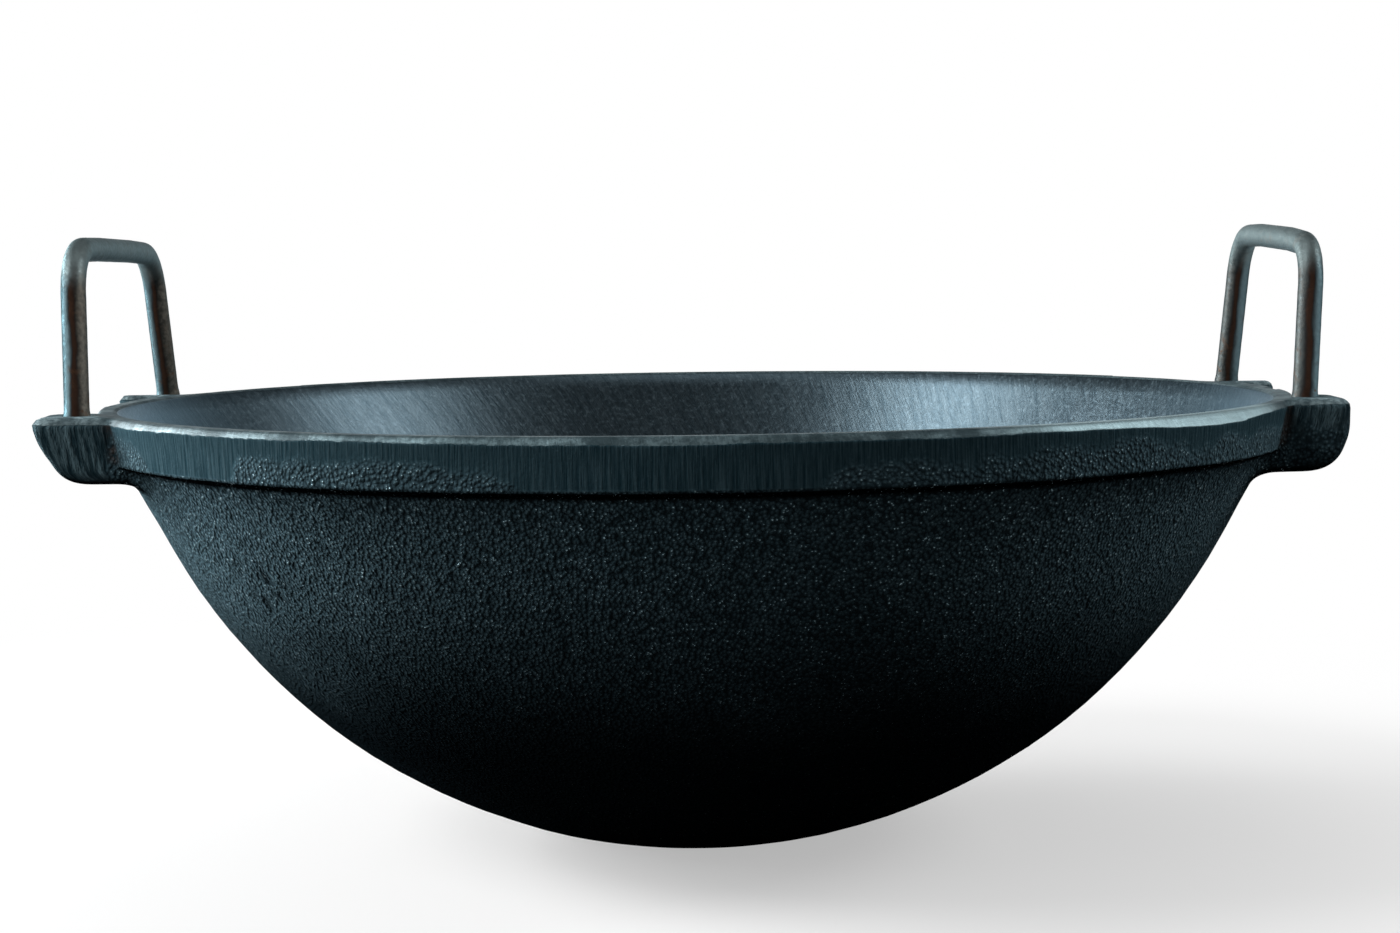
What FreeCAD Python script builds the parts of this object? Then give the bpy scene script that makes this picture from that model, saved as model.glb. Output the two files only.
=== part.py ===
import FreeCAD, Part
import math
import os

from FreeCAD import Placement, Rotation, Vector
from Sketcher import Constraint

# A 30 cm kadai: a round-bottomed iron casting with a rim band and four lugs, and two bent-rod handles
# whose legs are set into the lugs. Millimetres and degrees. +Z is up, the origin is the middle of the
# ground flat that the bowl stands on, the handles are at -X and +X, and the front is at -Y.

# Driving dimensions: cell name, value, meaning
DIMENSIONS = (
    ("bowl_height", 112.0, "ground flat up to the lip"),
    ("rim_radius", 150.0, "outside of the rim band, just under the lip's bevel"),
    ("mouth_radius", 145.0, "inside of the lip"),
    ("mouth_bevel", 0.8, "worn inner edge of the lip"),
    ("curve_radius", 150.0, "outside of the round bottom"),
    ("wall_angle", 62.0, "steepness of the straight upper wall"),
    ("floor_thickness", 4.0, "iron between the cavity and the ground flat"),
    ("flat_radius", 24.0, "flat under the bowl, where the pouring gate is ground off"),
    ("band_height", 11.5, "lip down to the foot of the rim band"),
    ("band_draft", 2.0, "taper of the rim band, in radius"),
    ("ledge_slope", 1.5, "fall of the ledge under the rim band, from the band in to the wall"),
    ("bevel_height", 1.3, "bevel ground along the lip and round the lugs, height"),
    ("bevel_width", 1.6, "bevel ground along the lip and round the lugs, width"),
    ("lug_width", 20.0, "width of a lug at its top"),
    ("lug_draft", 1.0, "taper of each side of a lug, top to underside"),
    ("lug_corner_round", 6.0, "corners of a lug's end, seen from above"),
    ("lug_root_round", 2.5, "flare of a lug into the rim, seen from above"),
    ("front_left_lug_reach", 155.5, "middle of the bowl out to the lug's end, ground by hand"),
    ("back_left_lug_reach", 159.0, "middle of the bowl out to the lug's end, ground by hand"),
    ("front_right_lug_reach", 155.5, "middle of the bowl out to the lug's end, ground by hand"),
    ("back_right_lug_reach", 157.5, "middle of the bowl out to the lug's end, ground by hand"),
    ("left_lug_depth", 15.8, "lip down to the underside of the left lugs"),
    ("left_lug_undercut", 7.0, "how far the left lugs' ends slope back, top to underside"),
    ("left_lug_foot_round", 3.0, "lower edges of the left lugs"),
    ("right_lug_depth", 17.0, "lip down to the underside of the right lugs"),
    ("right_lug_undercut", 3.5, "how far the right lugs' ends slope back, top to underside"),
    ("right_lug_foot_round", 4.5, "lower edges of the right lugs"),
    ("left_lug_offset", 52.5, "middle of each left lug from the line through the handles"),
    ("right_lug_offset", 45.0, "middle of each right lug from the line through the handles"),
    ("rod_diameter", 6.0, "handle rod"),
    ("socket_depth", 11.0, "length of rod held in a lug"),
    ("crossbar_radius", 900.0, "slight arch of a handle's crossbar"),
    ("left_leg_reach", 146.3, "middle of the bowl to the left handle, at the lip's height"),
    ("left_foot_spacing", 108.0, "between the ends of the left handle's legs"),
    ("left_leg_splay", 12.0, "lean of the left handle's legs towards each other"),
    ("left_lean", 2.8, "lean of the left handle out from the bowl"),
    ("left_bend_radius", 13.5, "bends of the left handle, at the middle of the rod"),
    ("left_front_rise", 39.3, "lip up to the front shoulder of the left handle"),
    ("left_back_rise", 38.6, "lip up to the back shoulder of the left handle"),
    ("right_leg_reach", 146.0, "middle of the bowl to the right handle, at the lip's height"),
    ("right_foot_spacing", 91.7, "between the ends of the right handle's legs"),
    ("right_leg_splay", 7.4, "lean of the right handle's legs towards each other"),
    ("right_lean", 4.4, "lean of the right handle out from the bowl"),
    ("right_bend_radius", 12.0, "bends of the right handle, at the middle of the rod"),
    ("right_front_rise", 36.5, "lip up to the front shoulder of the right handle"),
    ("right_back_rise", 39.7, "lip up to the back shoulder of the right handle"),
)

# Points of a sketch's line or arc, and the sketch's own origin and axis
START, END, CENTRE = 1, 2, 3
ORIGIN = (-1, 1)
V_AXIS = -2

QUARTER = math.pi / 2
CLOSE = 0.01

# Sizes that follow from the cells
STEEPNESS = "dims.wall_angle * 1 deg"
CURVE_CENTRE = "sqrt(dims.curve_radius^2 - dims.flat_radius^2)"
BEVEL_FOOT = "dims.bowl_height - dims.bevel_height"
BAND_FOOT = "dims.bowl_height - dims.band_height"
WALL_TOP = f"{BAND_FOOT} - dims.ledge_slope"
ABOVE_LIP = "dims.bowl_height + dims.bevel_height"

doc = FreeCAD.newDocument("kadai")


def wall_radius(height):
    """Outside radius of the straight upper wall at a height."""
    rise = f"({height} - {CURVE_CENTRE}) * cos({STEEPNESS})"
    return f"(dims.curve_radius + {rise}) / sin({STEEPNESS})"


def make_sheet():
    """Keeps each driving dimension in an aliased cell beside its meaning."""
    sheet = doc.addObject("Spreadsheet::Sheet", "dims")
    for row, (cell, value, meaning) in enumerate(DIMENSIONS, 1):
        sheet.set(f"A{row}", meaning)
        sheet.set(f"B{row}", str(value))
        sheet.setAlias(f"B{row}", cell)
    doc.recompute()


def size(expression):
    """Value of an expression over the cells."""
    return float(doc.dims.evalExpression(expression))


def origin_plane(body, role):
    return next(item for item in body.Origin.OriginFeatures if item.Role == role)


def sketch_on(body, role, name):
    sketch = body.newObject("Sketcher::SketchObject", name)
    sketch.AttachmentSupport = [(origin_plane(body, role), "")]
    sketch.MapMode = "FlatFace"
    return sketch


def line(start, end):
    return Part.LineSegment(Vector(*start), Vector(*end))


def arc(centre, radius, first, last):
    circle = Part.Circle(Vector(*centre), Vector(0, 0, 1), radius)
    return Part.ArcOfCircle(circle, first, last)


def draw(sketch, edges, smooth=(), backward=(), closed=True):
    """Draws edges end to end. Those numbered in smooth run on tangent into the next edge, and those in
    backward are drawn from their end to their start."""
    ids = [sketch.addGeometry(edge) for edge in edges]
    count = len(ids) if closed else len(ids) - 1
    for here in range(count):
        there = (here + 1) % len(ids)
        leave = START if here in backward else END
        enter = END if there in backward else START
        kind = "Tangent" if here in smooth else "Coincident"
        sketch.addConstraint(Constraint(kind, ids[here], leave, ids[there], enter))
    return ids


def dimension(sketch, kind, expression, *points):
    """Adds a dimension and binds it to the cells."""
    value = size(expression)
    drawn = math.radians(value) if kind == "Angle" else value
    index = sketch.addConstraint(Constraint(kind, *points, drawn))
    sketch.setExpression(f"Constraints[{index}]", expression)


def turn_about_axis(body, kind, name, profile):
    """A full turn of a profile about the bowl's axis."""
    feature = body.newObject(f"PartDesign::{kind}", name)
    feature.Profile = profile
    feature.ReferenceAxis = (profile, ["V_Axis"])
    feature.Angle = 360
    doc.recompute()
    return feature


def reach(edge):
    """Distance of an edge's middle from the bowl's axis."""
    middle = edge.valueAt((edge.FirstParameter + edge.LastParameter) / 2)
    return math.hypot(middle.x, middle.y)


def at_height(edge, height):
    box = edge.BoundBox
    return box.ZLength < CLOSE and abs(box.ZMin - height) < CLOSE


def dress_edges(body, kind, name, measure, chosen):
    """Fillets or chamfers the edges of the body so far that the test picks out."""
    base = body.Tip
    names = [f"Edge{number}" for number, edge in enumerate(base.Shape.Edges, 1) if chosen(edge)]
    feature = body.newObject(f"PartDesign::{kind}", name)
    feature.Base = (base, names)
    feature.setExpression("Radius" if kind == "Fillet" else "Size", measure)
    doc.recompute()


def outer_profile(body):
    """Half section of the solid form outside: flat, round bottom, straight wall, ledge, band, bevel."""
    steep = size(STEEPNESS + " / 1 rad")
    curve, centre = size("dims.curve_radius"), size(CURVE_CENTRE)
    flat_edge = (size("dims.flat_radius"), 0)
    wall_start = (curve * math.sin(steep), centre - curve * math.cos(steep))
    wall_end = (size(wall_radius(WALL_TOP)), size(WALL_TOP))
    band_foot = (size("dims.rim_radius - dims.band_draft"), size(BAND_FOOT))
    band_head = (size("dims.rim_radius"), size(BEVEL_FOOT))
    lip_edge = (size("dims.rim_radius - dims.bevel_width"), size("dims.bowl_height"))

    sketch = sketch_on(body, "XZ_Plane", "outer_profile")
    ids = draw(sketch, (
        line((0, lip_edge[1]), (0, 0)),
        line((0, 0), flat_edge),
        arc((0, centre), curve, math.atan2(-centre, flat_edge[0]), steep - QUARTER),
        line(wall_start, wall_end),
        line(wall_end, band_foot),
        line(band_foot, band_head),
        line(band_head, lip_edge),
        line(lip_edge, (0, lip_edge[1])),
    ), smooth=(2,))
    axis, flat, bottom, wall, ledge, band, bevel, lip = ids
    sketch.addConstraint([
        Constraint("Coincident", flat, START, *ORIGIN),
        Constraint("Vertical", axis),
        Constraint("Horizontal", flat),
        Constraint("Horizontal", lip),
        Constraint("PointOnObject", bottom, CENTRE, V_AXIS),
    ])
    dimension(sketch, "DistanceX", "dims.flat_radius", *ORIGIN, flat, END)
    dimension(sketch, "Radius", "dims.curve_radius", bottom)
    dimension(sketch, "Angle", "dims.wall_angle", wall)
    dimension(sketch, "DistanceY", WALL_TOP, *ORIGIN, wall, END)
    dimension(sketch, "DistanceX", "dims.rim_radius - dims.band_draft", *ORIGIN, ledge, END)
    dimension(sketch, "DistanceY", BAND_FOOT, *ORIGIN, ledge, END)
    dimension(sketch, "DistanceX", "dims.rim_radius", *ORIGIN, band, END)
    dimension(sketch, "DistanceY", BEVEL_FOOT, *ORIGIN, band, END)
    dimension(sketch, "DistanceX", "dims.rim_radius - dims.bevel_width", *ORIGIN, lip, START)
    dimension(sketch, "DistanceY", "dims.bowl_height", *ORIGIN, lip, END)
    return sketch


def cavity_profile(body):
    """Half section of the space inside, from the floor to above the lip."""
    steep = size(STEEPNESS + " / 1 rad")
    floor, top = size("dims.floor_thickness"), size("dims.bowl_height")
    mouth, above = size("dims.mouth_radius"), size(ABOVE_LIP)
    curve = size("dims.curve_radius - dims.floor_thickness")
    wall_start = (curve * math.sin(steep), floor + curve - curve * math.cos(steep))
    wall_end = (mouth + (above - top) / math.tan(steep), above)

    sketch = sketch_on(body, "XZ_Plane", "cavity_profile")
    ids = draw(sketch, (
        line((0, above), (0, floor)),
        arc((0, floor + curve), curve, -QUARTER, steep - QUARTER),
        line(wall_start, wall_end),
        line(wall_end, (0, above)),
    ), smooth=(1,))
    axis, bottom, wall, opening = ids
    mouth_point = sketch.addGeometry(Part.Point(Vector(mouth, top)), True)
    sketch.addConstraint([
        Constraint("PointOnObject", axis, START, V_AXIS),
        Constraint("PointOnObject", axis, END, V_AXIS),
        Constraint("PointOnObject", bottom, CENTRE, V_AXIS),
        Constraint("Horizontal", opening),
        Constraint("PointOnObject", mouth_point, START, wall),
    ])
    dimension(sketch, "DistanceY", "dims.floor_thickness", *ORIGIN, axis, END)
    dimension(sketch, "DistanceY", ABOVE_LIP, *ORIGIN, axis, START)
    dimension(sketch, "Angle", "dims.wall_angle", wall)
    dimension(sketch, "DistanceX", "dims.mouth_radius", *ORIGIN, mouth_point, START)
    dimension(sketch, "DistanceY", "dims.bowl_height", *ORIGIN, mouth_point, START)
    return sketch


def lug_outline(body, name, side, offset, height, tip, half_width, ring, corner_round, root_round):
    """A lug seen from above at one height: a rounded end, straight sides and roots that flare until they
    touch a ring round the bowl's axis. The left side's outlines are drawn turned half round."""
    middle, half, end_x = size(offset), size(half_width), size(tip)
    corner, root, ring_radius = size(corner_round), size(root_round), size(ring)
    near, far = middle - half, middle + half
    near_root_y, far_root_y = near - root, far + root
    near_root_x = math.sqrt((ring_radius + root) ** 2 - near_root_y ** 2)
    far_root_x = math.sqrt((ring_radius + root) ** 2 - far_root_y ** 2)
    near_angle = math.atan2(near_root_y, near_root_x)
    far_angle = math.atan2(far_root_y, far_root_x)
    near_touch = (ring_radius * math.cos(near_angle), ring_radius * math.sin(near_angle))
    far_touch = (ring_radius * math.cos(far_angle), ring_radius * math.sin(far_angle))
    straight = end_x - corner

    sketch = sketch_on(body, "XY_Plane", name)
    turn = 180 if side == "left" else 0
    sketch.AttachmentOffset = Placement(Vector(), Rotation(Vector(0, 0, 1), turn))
    sketch.setExpression("AttachmentOffset.Base.z", height)
    ids = draw(sketch, (
        arc((near_root_x, near_root_y), root, QUARTER, math.pi + near_angle),
        line((near_root_x, near), (straight, near)),
        arc((straight, near + corner), corner, -QUARTER, 0),
        line((end_x, near + corner), (end_x, far - corner)),
        arc((straight, far - corner), corner, 0, QUARTER),
        line((straight, far), (far_root_x, far)),
        arc((far_root_x, far_root_y), root, math.pi + far_angle, 3 * QUARTER),
        line(far_touch, near_touch),
    ), smooth=range(6), backward=(0, 6))
    near_root, near_side, near_corner, end, far_corner, far_side, far_root, buried = ids
    circle = sketch.addGeometry(Part.Circle(Vector(), Vector(0, 0, 1), ring_radius), True)
    sketch.addConstraint([
        Constraint("Coincident", circle, CENTRE, *ORIGIN),
        Constraint("Tangent", near_root, END, circle),
        Constraint("Tangent", far_root, START, circle),
        Constraint("Horizontal", near_side),
        Constraint("Horizontal", far_side),
        Constraint("Vertical", end),
        Constraint("Equal", near_root, far_root),
        Constraint("Equal", near_corner, far_corner),
    ])
    dimension(sketch, "Radius", ring, circle)
    dimension(sketch, "Radius", root_round, near_root)
    dimension(sketch, "Radius", corner_round, near_corner)
    dimension(sketch, "DistanceX", tip, *ORIGIN, end, START)
    dimension(sketch, "DistanceY", f"{offset} - ({half_width})", *ORIGIN, near_side, START)
    dimension(sketch, "DistanceY", f"{offset} + {half_width}", *ORIGIN, far_side, START)
    return sketch


def lug(body, end, side):
    """One lug, lofted down from its bevelled top to its underside."""
    name = f"{end}_{side}_lug"
    sign = "-" if (end == "front") == (side == "right") else ""
    offset = f"{sign}dims.{side}_lug_offset"
    tip = f"dims.{name}_reach"
    lug_foot = f"dims.bowl_height - dims.{side}_lug_depth"
    crown = lug_outline(
        body, f"{name}_crown", side, offset,
        height="dims.bowl_height",
        tip=f"{tip} - dims.bevel_width",
        half_width="dims.lug_width / 2 - dims.bevel_width",
        ring="dims.rim_radius - dims.bevel_width",
        corner_round="dims.lug_corner_round - dims.bevel_width",
        root_round="dims.lug_root_round + dims.bevel_width")
    shoulder = lug_outline(
        body, f"{name}_shoulder", side, offset,
        height=BEVEL_FOOT,
        tip=tip,
        half_width="dims.lug_width / 2",
        ring="dims.rim_radius",
        corner_round="dims.lug_corner_round",
        root_round="dims.lug_root_round")
    underside = lug_outline(
        body, f"{name}_underside", side, offset,
        height=lug_foot,
        tip=f"{tip} - dims.{side}_lug_undercut",
        half_width="dims.lug_width / 2 - dims.lug_draft",
        ring=wall_radius(lug_foot),
        corner_round="dims.lug_corner_round - dims.lug_draft",
        root_round="dims.lug_root_round")
    loft = body.newObject("PartDesign::AdditiveLoft", name)
    loft.Profile = crown
    loft.Sections = [shoulder, underside]
    loft.Ruled = True
    doc.recompute()


def casting():
    """Bowl, rim band and lugs, poured as one: the lugs' lower edges are rounded first, while they stand
    alone, then the turned form takes them in and the cavity is turned out of the whole."""
    body = doc.addObject("PartDesign::Body", "casting")
    for side in ("left", "right"):
        for end in ("front", "back"):
            lug(body, end, side)
    for side in ("left", "right"):
        lug_foot = f"dims.bowl_height - dims.{side}_lug_depth"
        foot, wall = size(lug_foot), size(wall_radius(lug_foot))
        dress_edges(body, "Fillet", f"{side}_lug_lower_edges", f"dims.{side}_lug_foot_round",
                    lambda edge: at_height(edge, foot) and reach(edge) > wall)
    turn_about_axis(body, "Revolution", "outer_form", outer_profile(body))
    full = body.Shape.Volume
    turn_about_axis(body, "Groove", "cavity", cavity_profile(body))
    if body.Shape.Volume > full / 2:
        raise RuntimeError("the cavity was not cut")
    top, mouth = size("dims.bowl_height"), size("dims.mouth_radius")
    dress_edges(body, "Chamfer", "mouth_edge", "dims.mouth_bevel",
                lambda edge: at_height(edge, top) and abs(reach(edge) - mouth) < CLOSE)
    return body


def rod_line(body, side):
    """Middle line of a handle's rod: leg, bend, arched crossbar, bend, leg, from back to front."""
    foot_y = size(f"dims.{side}_foot_spacing / 2")
    depth = size("dims.socket_depth")
    splay = math.radians(size(f"dims.{side}_leg_splay"))
    bend = size(f"dims.{side}_bend_radius")
    front_rise, back_rise = size(f"dims.{side}_front_rise"), size(f"dims.{side}_back_rise")
    bar = size("dims.crossbar_radius")
    middle_rise = (front_rise + back_rise) / 2
    shoulder_y = foot_y - (middle_rise + depth) * math.tan(splay) - bend
    half_bar = shoulder_y / bar

    sketch = sketch_on(body, "YZ_Plane", f"{side}_rod_line")
    ids = draw(sketch, (
        line((foot_y, -depth), (shoulder_y + bend, back_rise - bend)),
        arc((shoulder_y, back_rise - bend), bend, splay, QUARTER),
        arc((0, middle_rise - bar), bar, QUARTER - half_bar, QUARTER + half_bar),
        arc((-shoulder_y, front_rise - bend), bend, QUARTER, math.pi - splay),
        line((-foot_y, -depth), (-shoulder_y - bend, front_rise - bend)),
    ), smooth=range(4), backward=(4,), closed=False)
    back_leg, back_bend, crossbar, front_bend, front_leg = ids
    sketch.addConstraint(Constraint("Equal", back_bend, front_bend))
    dimension(sketch, "DistanceX", f"dims.{side}_foot_spacing / 2", *ORIGIN, back_leg, START)
    dimension(sketch, "DistanceX", f"dims.{side}_foot_spacing / 2", front_leg, START, *ORIGIN)
    dimension(sketch, "DistanceY", "dims.socket_depth", back_leg, START, *ORIGIN)
    dimension(sketch, "DistanceY", "dims.socket_depth", front_leg, START, *ORIGIN)
    dimension(sketch, "Angle", f"90 + dims.{side}_leg_splay", back_leg)
    dimension(sketch, "Angle", f"90 - dims.{side}_leg_splay", front_leg)
    dimension(sketch, "Radius", f"dims.{side}_bend_radius", back_bend)
    dimension(sketch, "Radius", "dims.crossbar_radius", crossbar)
    dimension(sketch, "DistanceY", f"dims.{side}_back_rise", *ORIGIN, crossbar, START)
    dimension(sketch, "DistanceY", f"dims.{side}_front_rise", *ORIGIN, crossbar, END)
    doc.recompute()
    return sketch


def handle(side):
    """A bent rod, made upright at the height of the lip and leant out from the bowl by its placement."""
    body = doc.addObject("PartDesign::Body", f"{side}_handle")
    path = rod_line(body, side)
    section = body.newObject("Sketcher::SketchObject", f"{side}_rod_section")
    section.AttachmentSupport = [(path, "Edge1")]
    section.MapMode = "NormalToEdge"
    section.MapPathParameter = 0
    circle = section.addGeometry(Part.Circle(Vector(), Vector(0, 0, 1), size("dims.rod_diameter / 2")))
    section.addConstraint(Constraint("Coincident", circle, CENTRE, *ORIGIN))
    dimension(section, "Radius", "dims.rod_diameter / 2", circle)
    rod = body.newObject("PartDesign::AdditivePipe", f"{side}_rod")
    rod.Profile = section
    rod.Spine = path

    outward = -1 if side == "left" else 1
    body.Placement = Placement(Vector(), Rotation(Vector(0, outward, 0), size(f"dims.{side}_lean")))
    body.setExpression("Placement.Base.x", f"{outward} * dims.{side}_leg_reach")
    body.setExpression("Placement.Base.z", "dims.bowl_height")
    body.setExpression("Placement.Rotation.Angle", f"dims.{side}_lean * 1 deg")
    doc.recompute()
    return body


def set_in(base, rod, name):
    """Iron poured round a handle's legs: the rod leaves its own blind sockets in the lugs."""
    cut = doc.addObject("Part::Cut", name)
    cut.Base = base
    cut.Tool = rod
    doc.recompute()
    return cut


def check(pieces):
    """Stops before anything is written if a feature failed or a piece is not one sound solid."""
    for item in doc.Objects:
        if "Invalid" in item.State or "Error" in item.State:
            raise RuntimeError(f"{item.Label} failed: {item.State}")
    for piece in pieces:
        shape = piece.Shape
        if shape.isNull() or not shape.isValid() or len(shape.Solids) != 1:
            raise RuntimeError(f"{piece.Label} is not one valid solid")


make_sheet()
left_handle = handle("left")
right_handle = handle("right")
bowl = set_in(set_in(casting(), left_handle, "casting_round_left_handle"), right_handle, "bowl")
pieces = (bowl, left_handle, right_handle)
check(pieces)
os.makedirs("parts", exist_ok=True)
for piece in pieces:
    piece.Shape.exportStep(f"parts/{piece.Label}.step")
    box = piece.Shape.optimalBoundingBox()
    print(f"{piece.Label}: {piece.Shape.Volume / 1000:.1f} cm3,",
          f"{box.XLength:.1f} x {box.YLength:.1f} x {box.ZLength:.1f} mm")
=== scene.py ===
import math
from collections import namedtuple

import bmesh
import bpy
import numpy as np
from mathutils import Matrix, Vector, noise


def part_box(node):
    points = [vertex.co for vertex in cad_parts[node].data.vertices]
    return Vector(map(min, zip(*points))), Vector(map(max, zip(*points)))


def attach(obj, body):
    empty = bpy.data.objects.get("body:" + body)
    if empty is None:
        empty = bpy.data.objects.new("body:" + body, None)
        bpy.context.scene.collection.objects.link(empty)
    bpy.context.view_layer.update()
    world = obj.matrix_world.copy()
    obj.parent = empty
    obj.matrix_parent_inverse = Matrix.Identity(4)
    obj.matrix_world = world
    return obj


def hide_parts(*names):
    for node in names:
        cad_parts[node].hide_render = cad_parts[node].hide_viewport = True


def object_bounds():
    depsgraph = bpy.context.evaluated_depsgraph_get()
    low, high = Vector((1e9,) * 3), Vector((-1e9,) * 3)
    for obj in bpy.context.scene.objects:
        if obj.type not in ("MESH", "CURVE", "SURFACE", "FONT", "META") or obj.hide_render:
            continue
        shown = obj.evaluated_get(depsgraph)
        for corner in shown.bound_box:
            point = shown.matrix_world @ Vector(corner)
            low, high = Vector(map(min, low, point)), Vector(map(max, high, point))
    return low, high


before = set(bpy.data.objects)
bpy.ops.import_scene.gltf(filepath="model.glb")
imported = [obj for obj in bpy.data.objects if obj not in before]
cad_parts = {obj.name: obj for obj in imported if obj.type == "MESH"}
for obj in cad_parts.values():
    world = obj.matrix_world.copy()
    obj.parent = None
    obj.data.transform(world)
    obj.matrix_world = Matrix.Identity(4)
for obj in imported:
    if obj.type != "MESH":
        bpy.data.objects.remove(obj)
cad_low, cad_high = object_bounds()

MM = 0.001
scene = bpy.context.scene
scene.view_settings.view_transform = "Standard"

# Sizes of the bowl
bowl_low, bowl_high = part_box("bowl")
RIM_RADIUS = bowl_high.y
LIP_HEIGHT = bowl_high.z
MOUTH_RADIUS = RIM_RADIUS - 5 * MM
STEEPNESS = math.radians(62)
FLAT_RADIUS = 24 * MM
FLAT_ROUND = 0.6 * MM
FLOOR_THICKNESS = 4 * MM
CURVE_RADIUS = RIM_RADIUS
CURVE_CENTRE = math.sqrt(CURVE_RADIUS ** 2 - FLAT_RADIUS ** 2)
INSIDE_RADIUS = ((MOUTH_RADIUS * math.sin(STEEPNESS) - (LIP_HEIGHT - FLOOR_THICKNESS) * math.cos(STEEPNESS))
                 / (1 - math.cos(STEEPNESS)))
INSIDE_CENTRE = INSIDE_RADIUS + FLOOR_THICKNESS
INSIDE_DEPTH = 0.25 * MM
BAND_FOOT = LIP_HEIGHT - 11.5 * MM
BAND_TOP = LIP_HEIGHT - 1.3 * MM
BAND_DRAFT = 2 * MM
BAND_ROUND = 0.5 * MM
LEDGE_DROP = 1.5 * MM
LEDGE_ROUND = 0.4 * MM
MOUTH_ROUND = 1.2 * MM
MOUTH_EDGE_WIDTH = 0.8 * MM
MOUTH_EDGE_DROP = 0.7 * MM
RIM_BLEND = 2 * MM

# The lip's ground bevel: waves in its width as (count, depth), and a wider facet at the front right
BEVEL = 1.55 * MM
BEVEL_ROUND = 0.3 * MM
BEVEL_ROUND_ON_LUG = 0.6 * MM
NARROWER_ON_LUG = 0.1
BEVEL_WAVES = ((4, 0.12 * MM), (9, 0.08 * MM), (17, 0.06 * MM),
               (31, 0.05 * MM), (58, 0.035 * MM), (97, 0.025 * MM))
BEVEL_SEED = 5
WIDE_FACET = 1.0 * MM
WIDE_FACET_BEARING = math.radians(-41)
WIDE_FACET_SPREAD = math.radians(9)

# Lugs: depth below the lip, planes of the ground end as (lead, slope), rounding below, and tilt of the top
Lug = namedtuple("Lug", "side offset reach depth ends foot_round lift tilt")
LEFT_REACH, RIGHT_REACH = -bowl_low.x, bowl_high.x
LUGS = (
    Lug(-1, -52.5 * MM, 155.6 * MM, 15.8 * MM, ((0, 0.27), (2.4 * MM, 0.66)), 4 * MM, 0.1 * MM, 0.01),
    Lug(-1, 52.5 * MM, LEFT_REACH, 15.8 * MM, ((0, 0.3), (2 * MM, 0.6)), 4 * MM, -0.3 * MM, -0.05),
    Lug(1, -45 * MM, 155.0 * MM, 17.4 * MM, ((0, 0.0), (3.2 * MM, 0.4)), 6 * MM, 0.4 * MM, 0.01),
    Lug(1, 45 * MM, RIGHT_REACH, 17 * MM, ((0, 0.1), (1.5 * MM, 0.4)), 6 * MM, -0.1 * MM, -0.06),
)
LUG_WIDTH = 20 * MM
LUG_DRAFT = 1 * MM
LUG_CORNER = 3.4 * MM
LUG_END_ROUND = 1 * MM
LUG_FILLET = 1.4 * MM
SEAT_FILLET = 4.5 * MM
SEAT_BELOW_BAND = 3 * MM
LUG_FOOT = LIP_HEIGHT - 20 * MM
BELOW_LUGS = LIP_HEIGHT - 26 * MM
LUG_INFLUENCE = 40 * MM
LUG_SIDE_STARTS = 100 * MM
TILT_STARTS = RIM_RADIUS - 3 * MM
TILT_BLEND = 4 * MM
TILT_HALF_WIDTH = 11 * MM

# Lines round the bowl and rows along its half-section
SEGMENTS = 780
SIDE_CROWDING = 0.5
ROWS = {"flat": 3, "bottom": 24, "wall": 4, "under_band": 15, "ledge": 8, "band": 19, "bevel": 5,
        "lip": 5, "mouth": 3, "inside_wall": 8, "inside_bottom": 15}
ROW_OF = {zone: sum(list(ROWS.values())[:place]) for place, zone in enumerate(ROWS)}

# How the lines are fitted to the skin, drawn out over a lug and spread on it
SLOPE_STEP = 0.02 * MM
CLOSE_TO_SKIN = 0.6 * MM
WELD_DISTANCE = 0.001 * MM
BURIED_DEPTH = 0.01 * MM
PUSHED_BEYOND = 4 * MM
DRAWN_BESIDE_LUG = 18 * MM
EASE_ENDS = 15 * MM
EASE_WIDTH = 7 * MM
HALVINGS = 22
SLIDES = 220
LONGEST_SLIDE = 0.35 * MM
REFINED_BESIDE_LUG = 3 * MM
REFINED_FROM = RIM_RADIUS - 0.5 * MM
FOLD_ROUNDS = 20
FOLD_TURN = 0.3
FOLD_CREASE = math.radians(70)

# Swells that the mould left in the skin: depth, size and seed
SWELLS = ((0.18 * MM, 26 * MM, 1), (0.1 * MM, 7 * MM, 2))
SWELLS_FULL_ABOVE_FLAT = 8 * MM
SWELLS_FULL_BELOW_LIP = 6 * MM
LEAST_SWELL = 0.15

# How far the skin is felt for worn edges and crevices, and how far the lugs' painted corner shade and their
# own skin reach
WEAR_PROBE = 0.9 * MM
CREVICE_PROBE = 1.2 * MM
LUG_CORNER_SHADE = 2.6 * MM
LUG_SKIN_DEPTH = 1 * MM

# Handles: measured upright from the lip, then leant out from the bowl
Handle = namedtuple("Handle", "side leg_reach foot_spacing splay lean bend front_rise back_rise arch")
HANDLES = {
    "left_handle": Handle(-1, 146.3 * MM, 108 * MM, math.radians(12), math.radians(2.8), 13.5 * MM,
                          39.3 * MM, 38.6 * MM, 0.45 * MM),
    "right_handle": Handle(1, 146 * MM, 91.7 * MM, math.radians(7.4), math.radians(4.4), 12 * MM,
                           36.5 * MM, 39.7 * MM, 0.9 * MM),
}
ROD_RADIUS = 3 * MM
ROD_STEP = 0.7 * MM
ROD_SIDES = 36
BEND_POINTS = 16
SOCKET_DEPTH = 11 * MM
BEAD_HEIGHT = 0.25 * MM
BEAD_WIDTH = 1.1 * MM
PIT_DEPTH = 0.12 * MM
FIRST_ROD_SEED = 3.0
CROWN_SPREAD = 0.4

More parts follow.
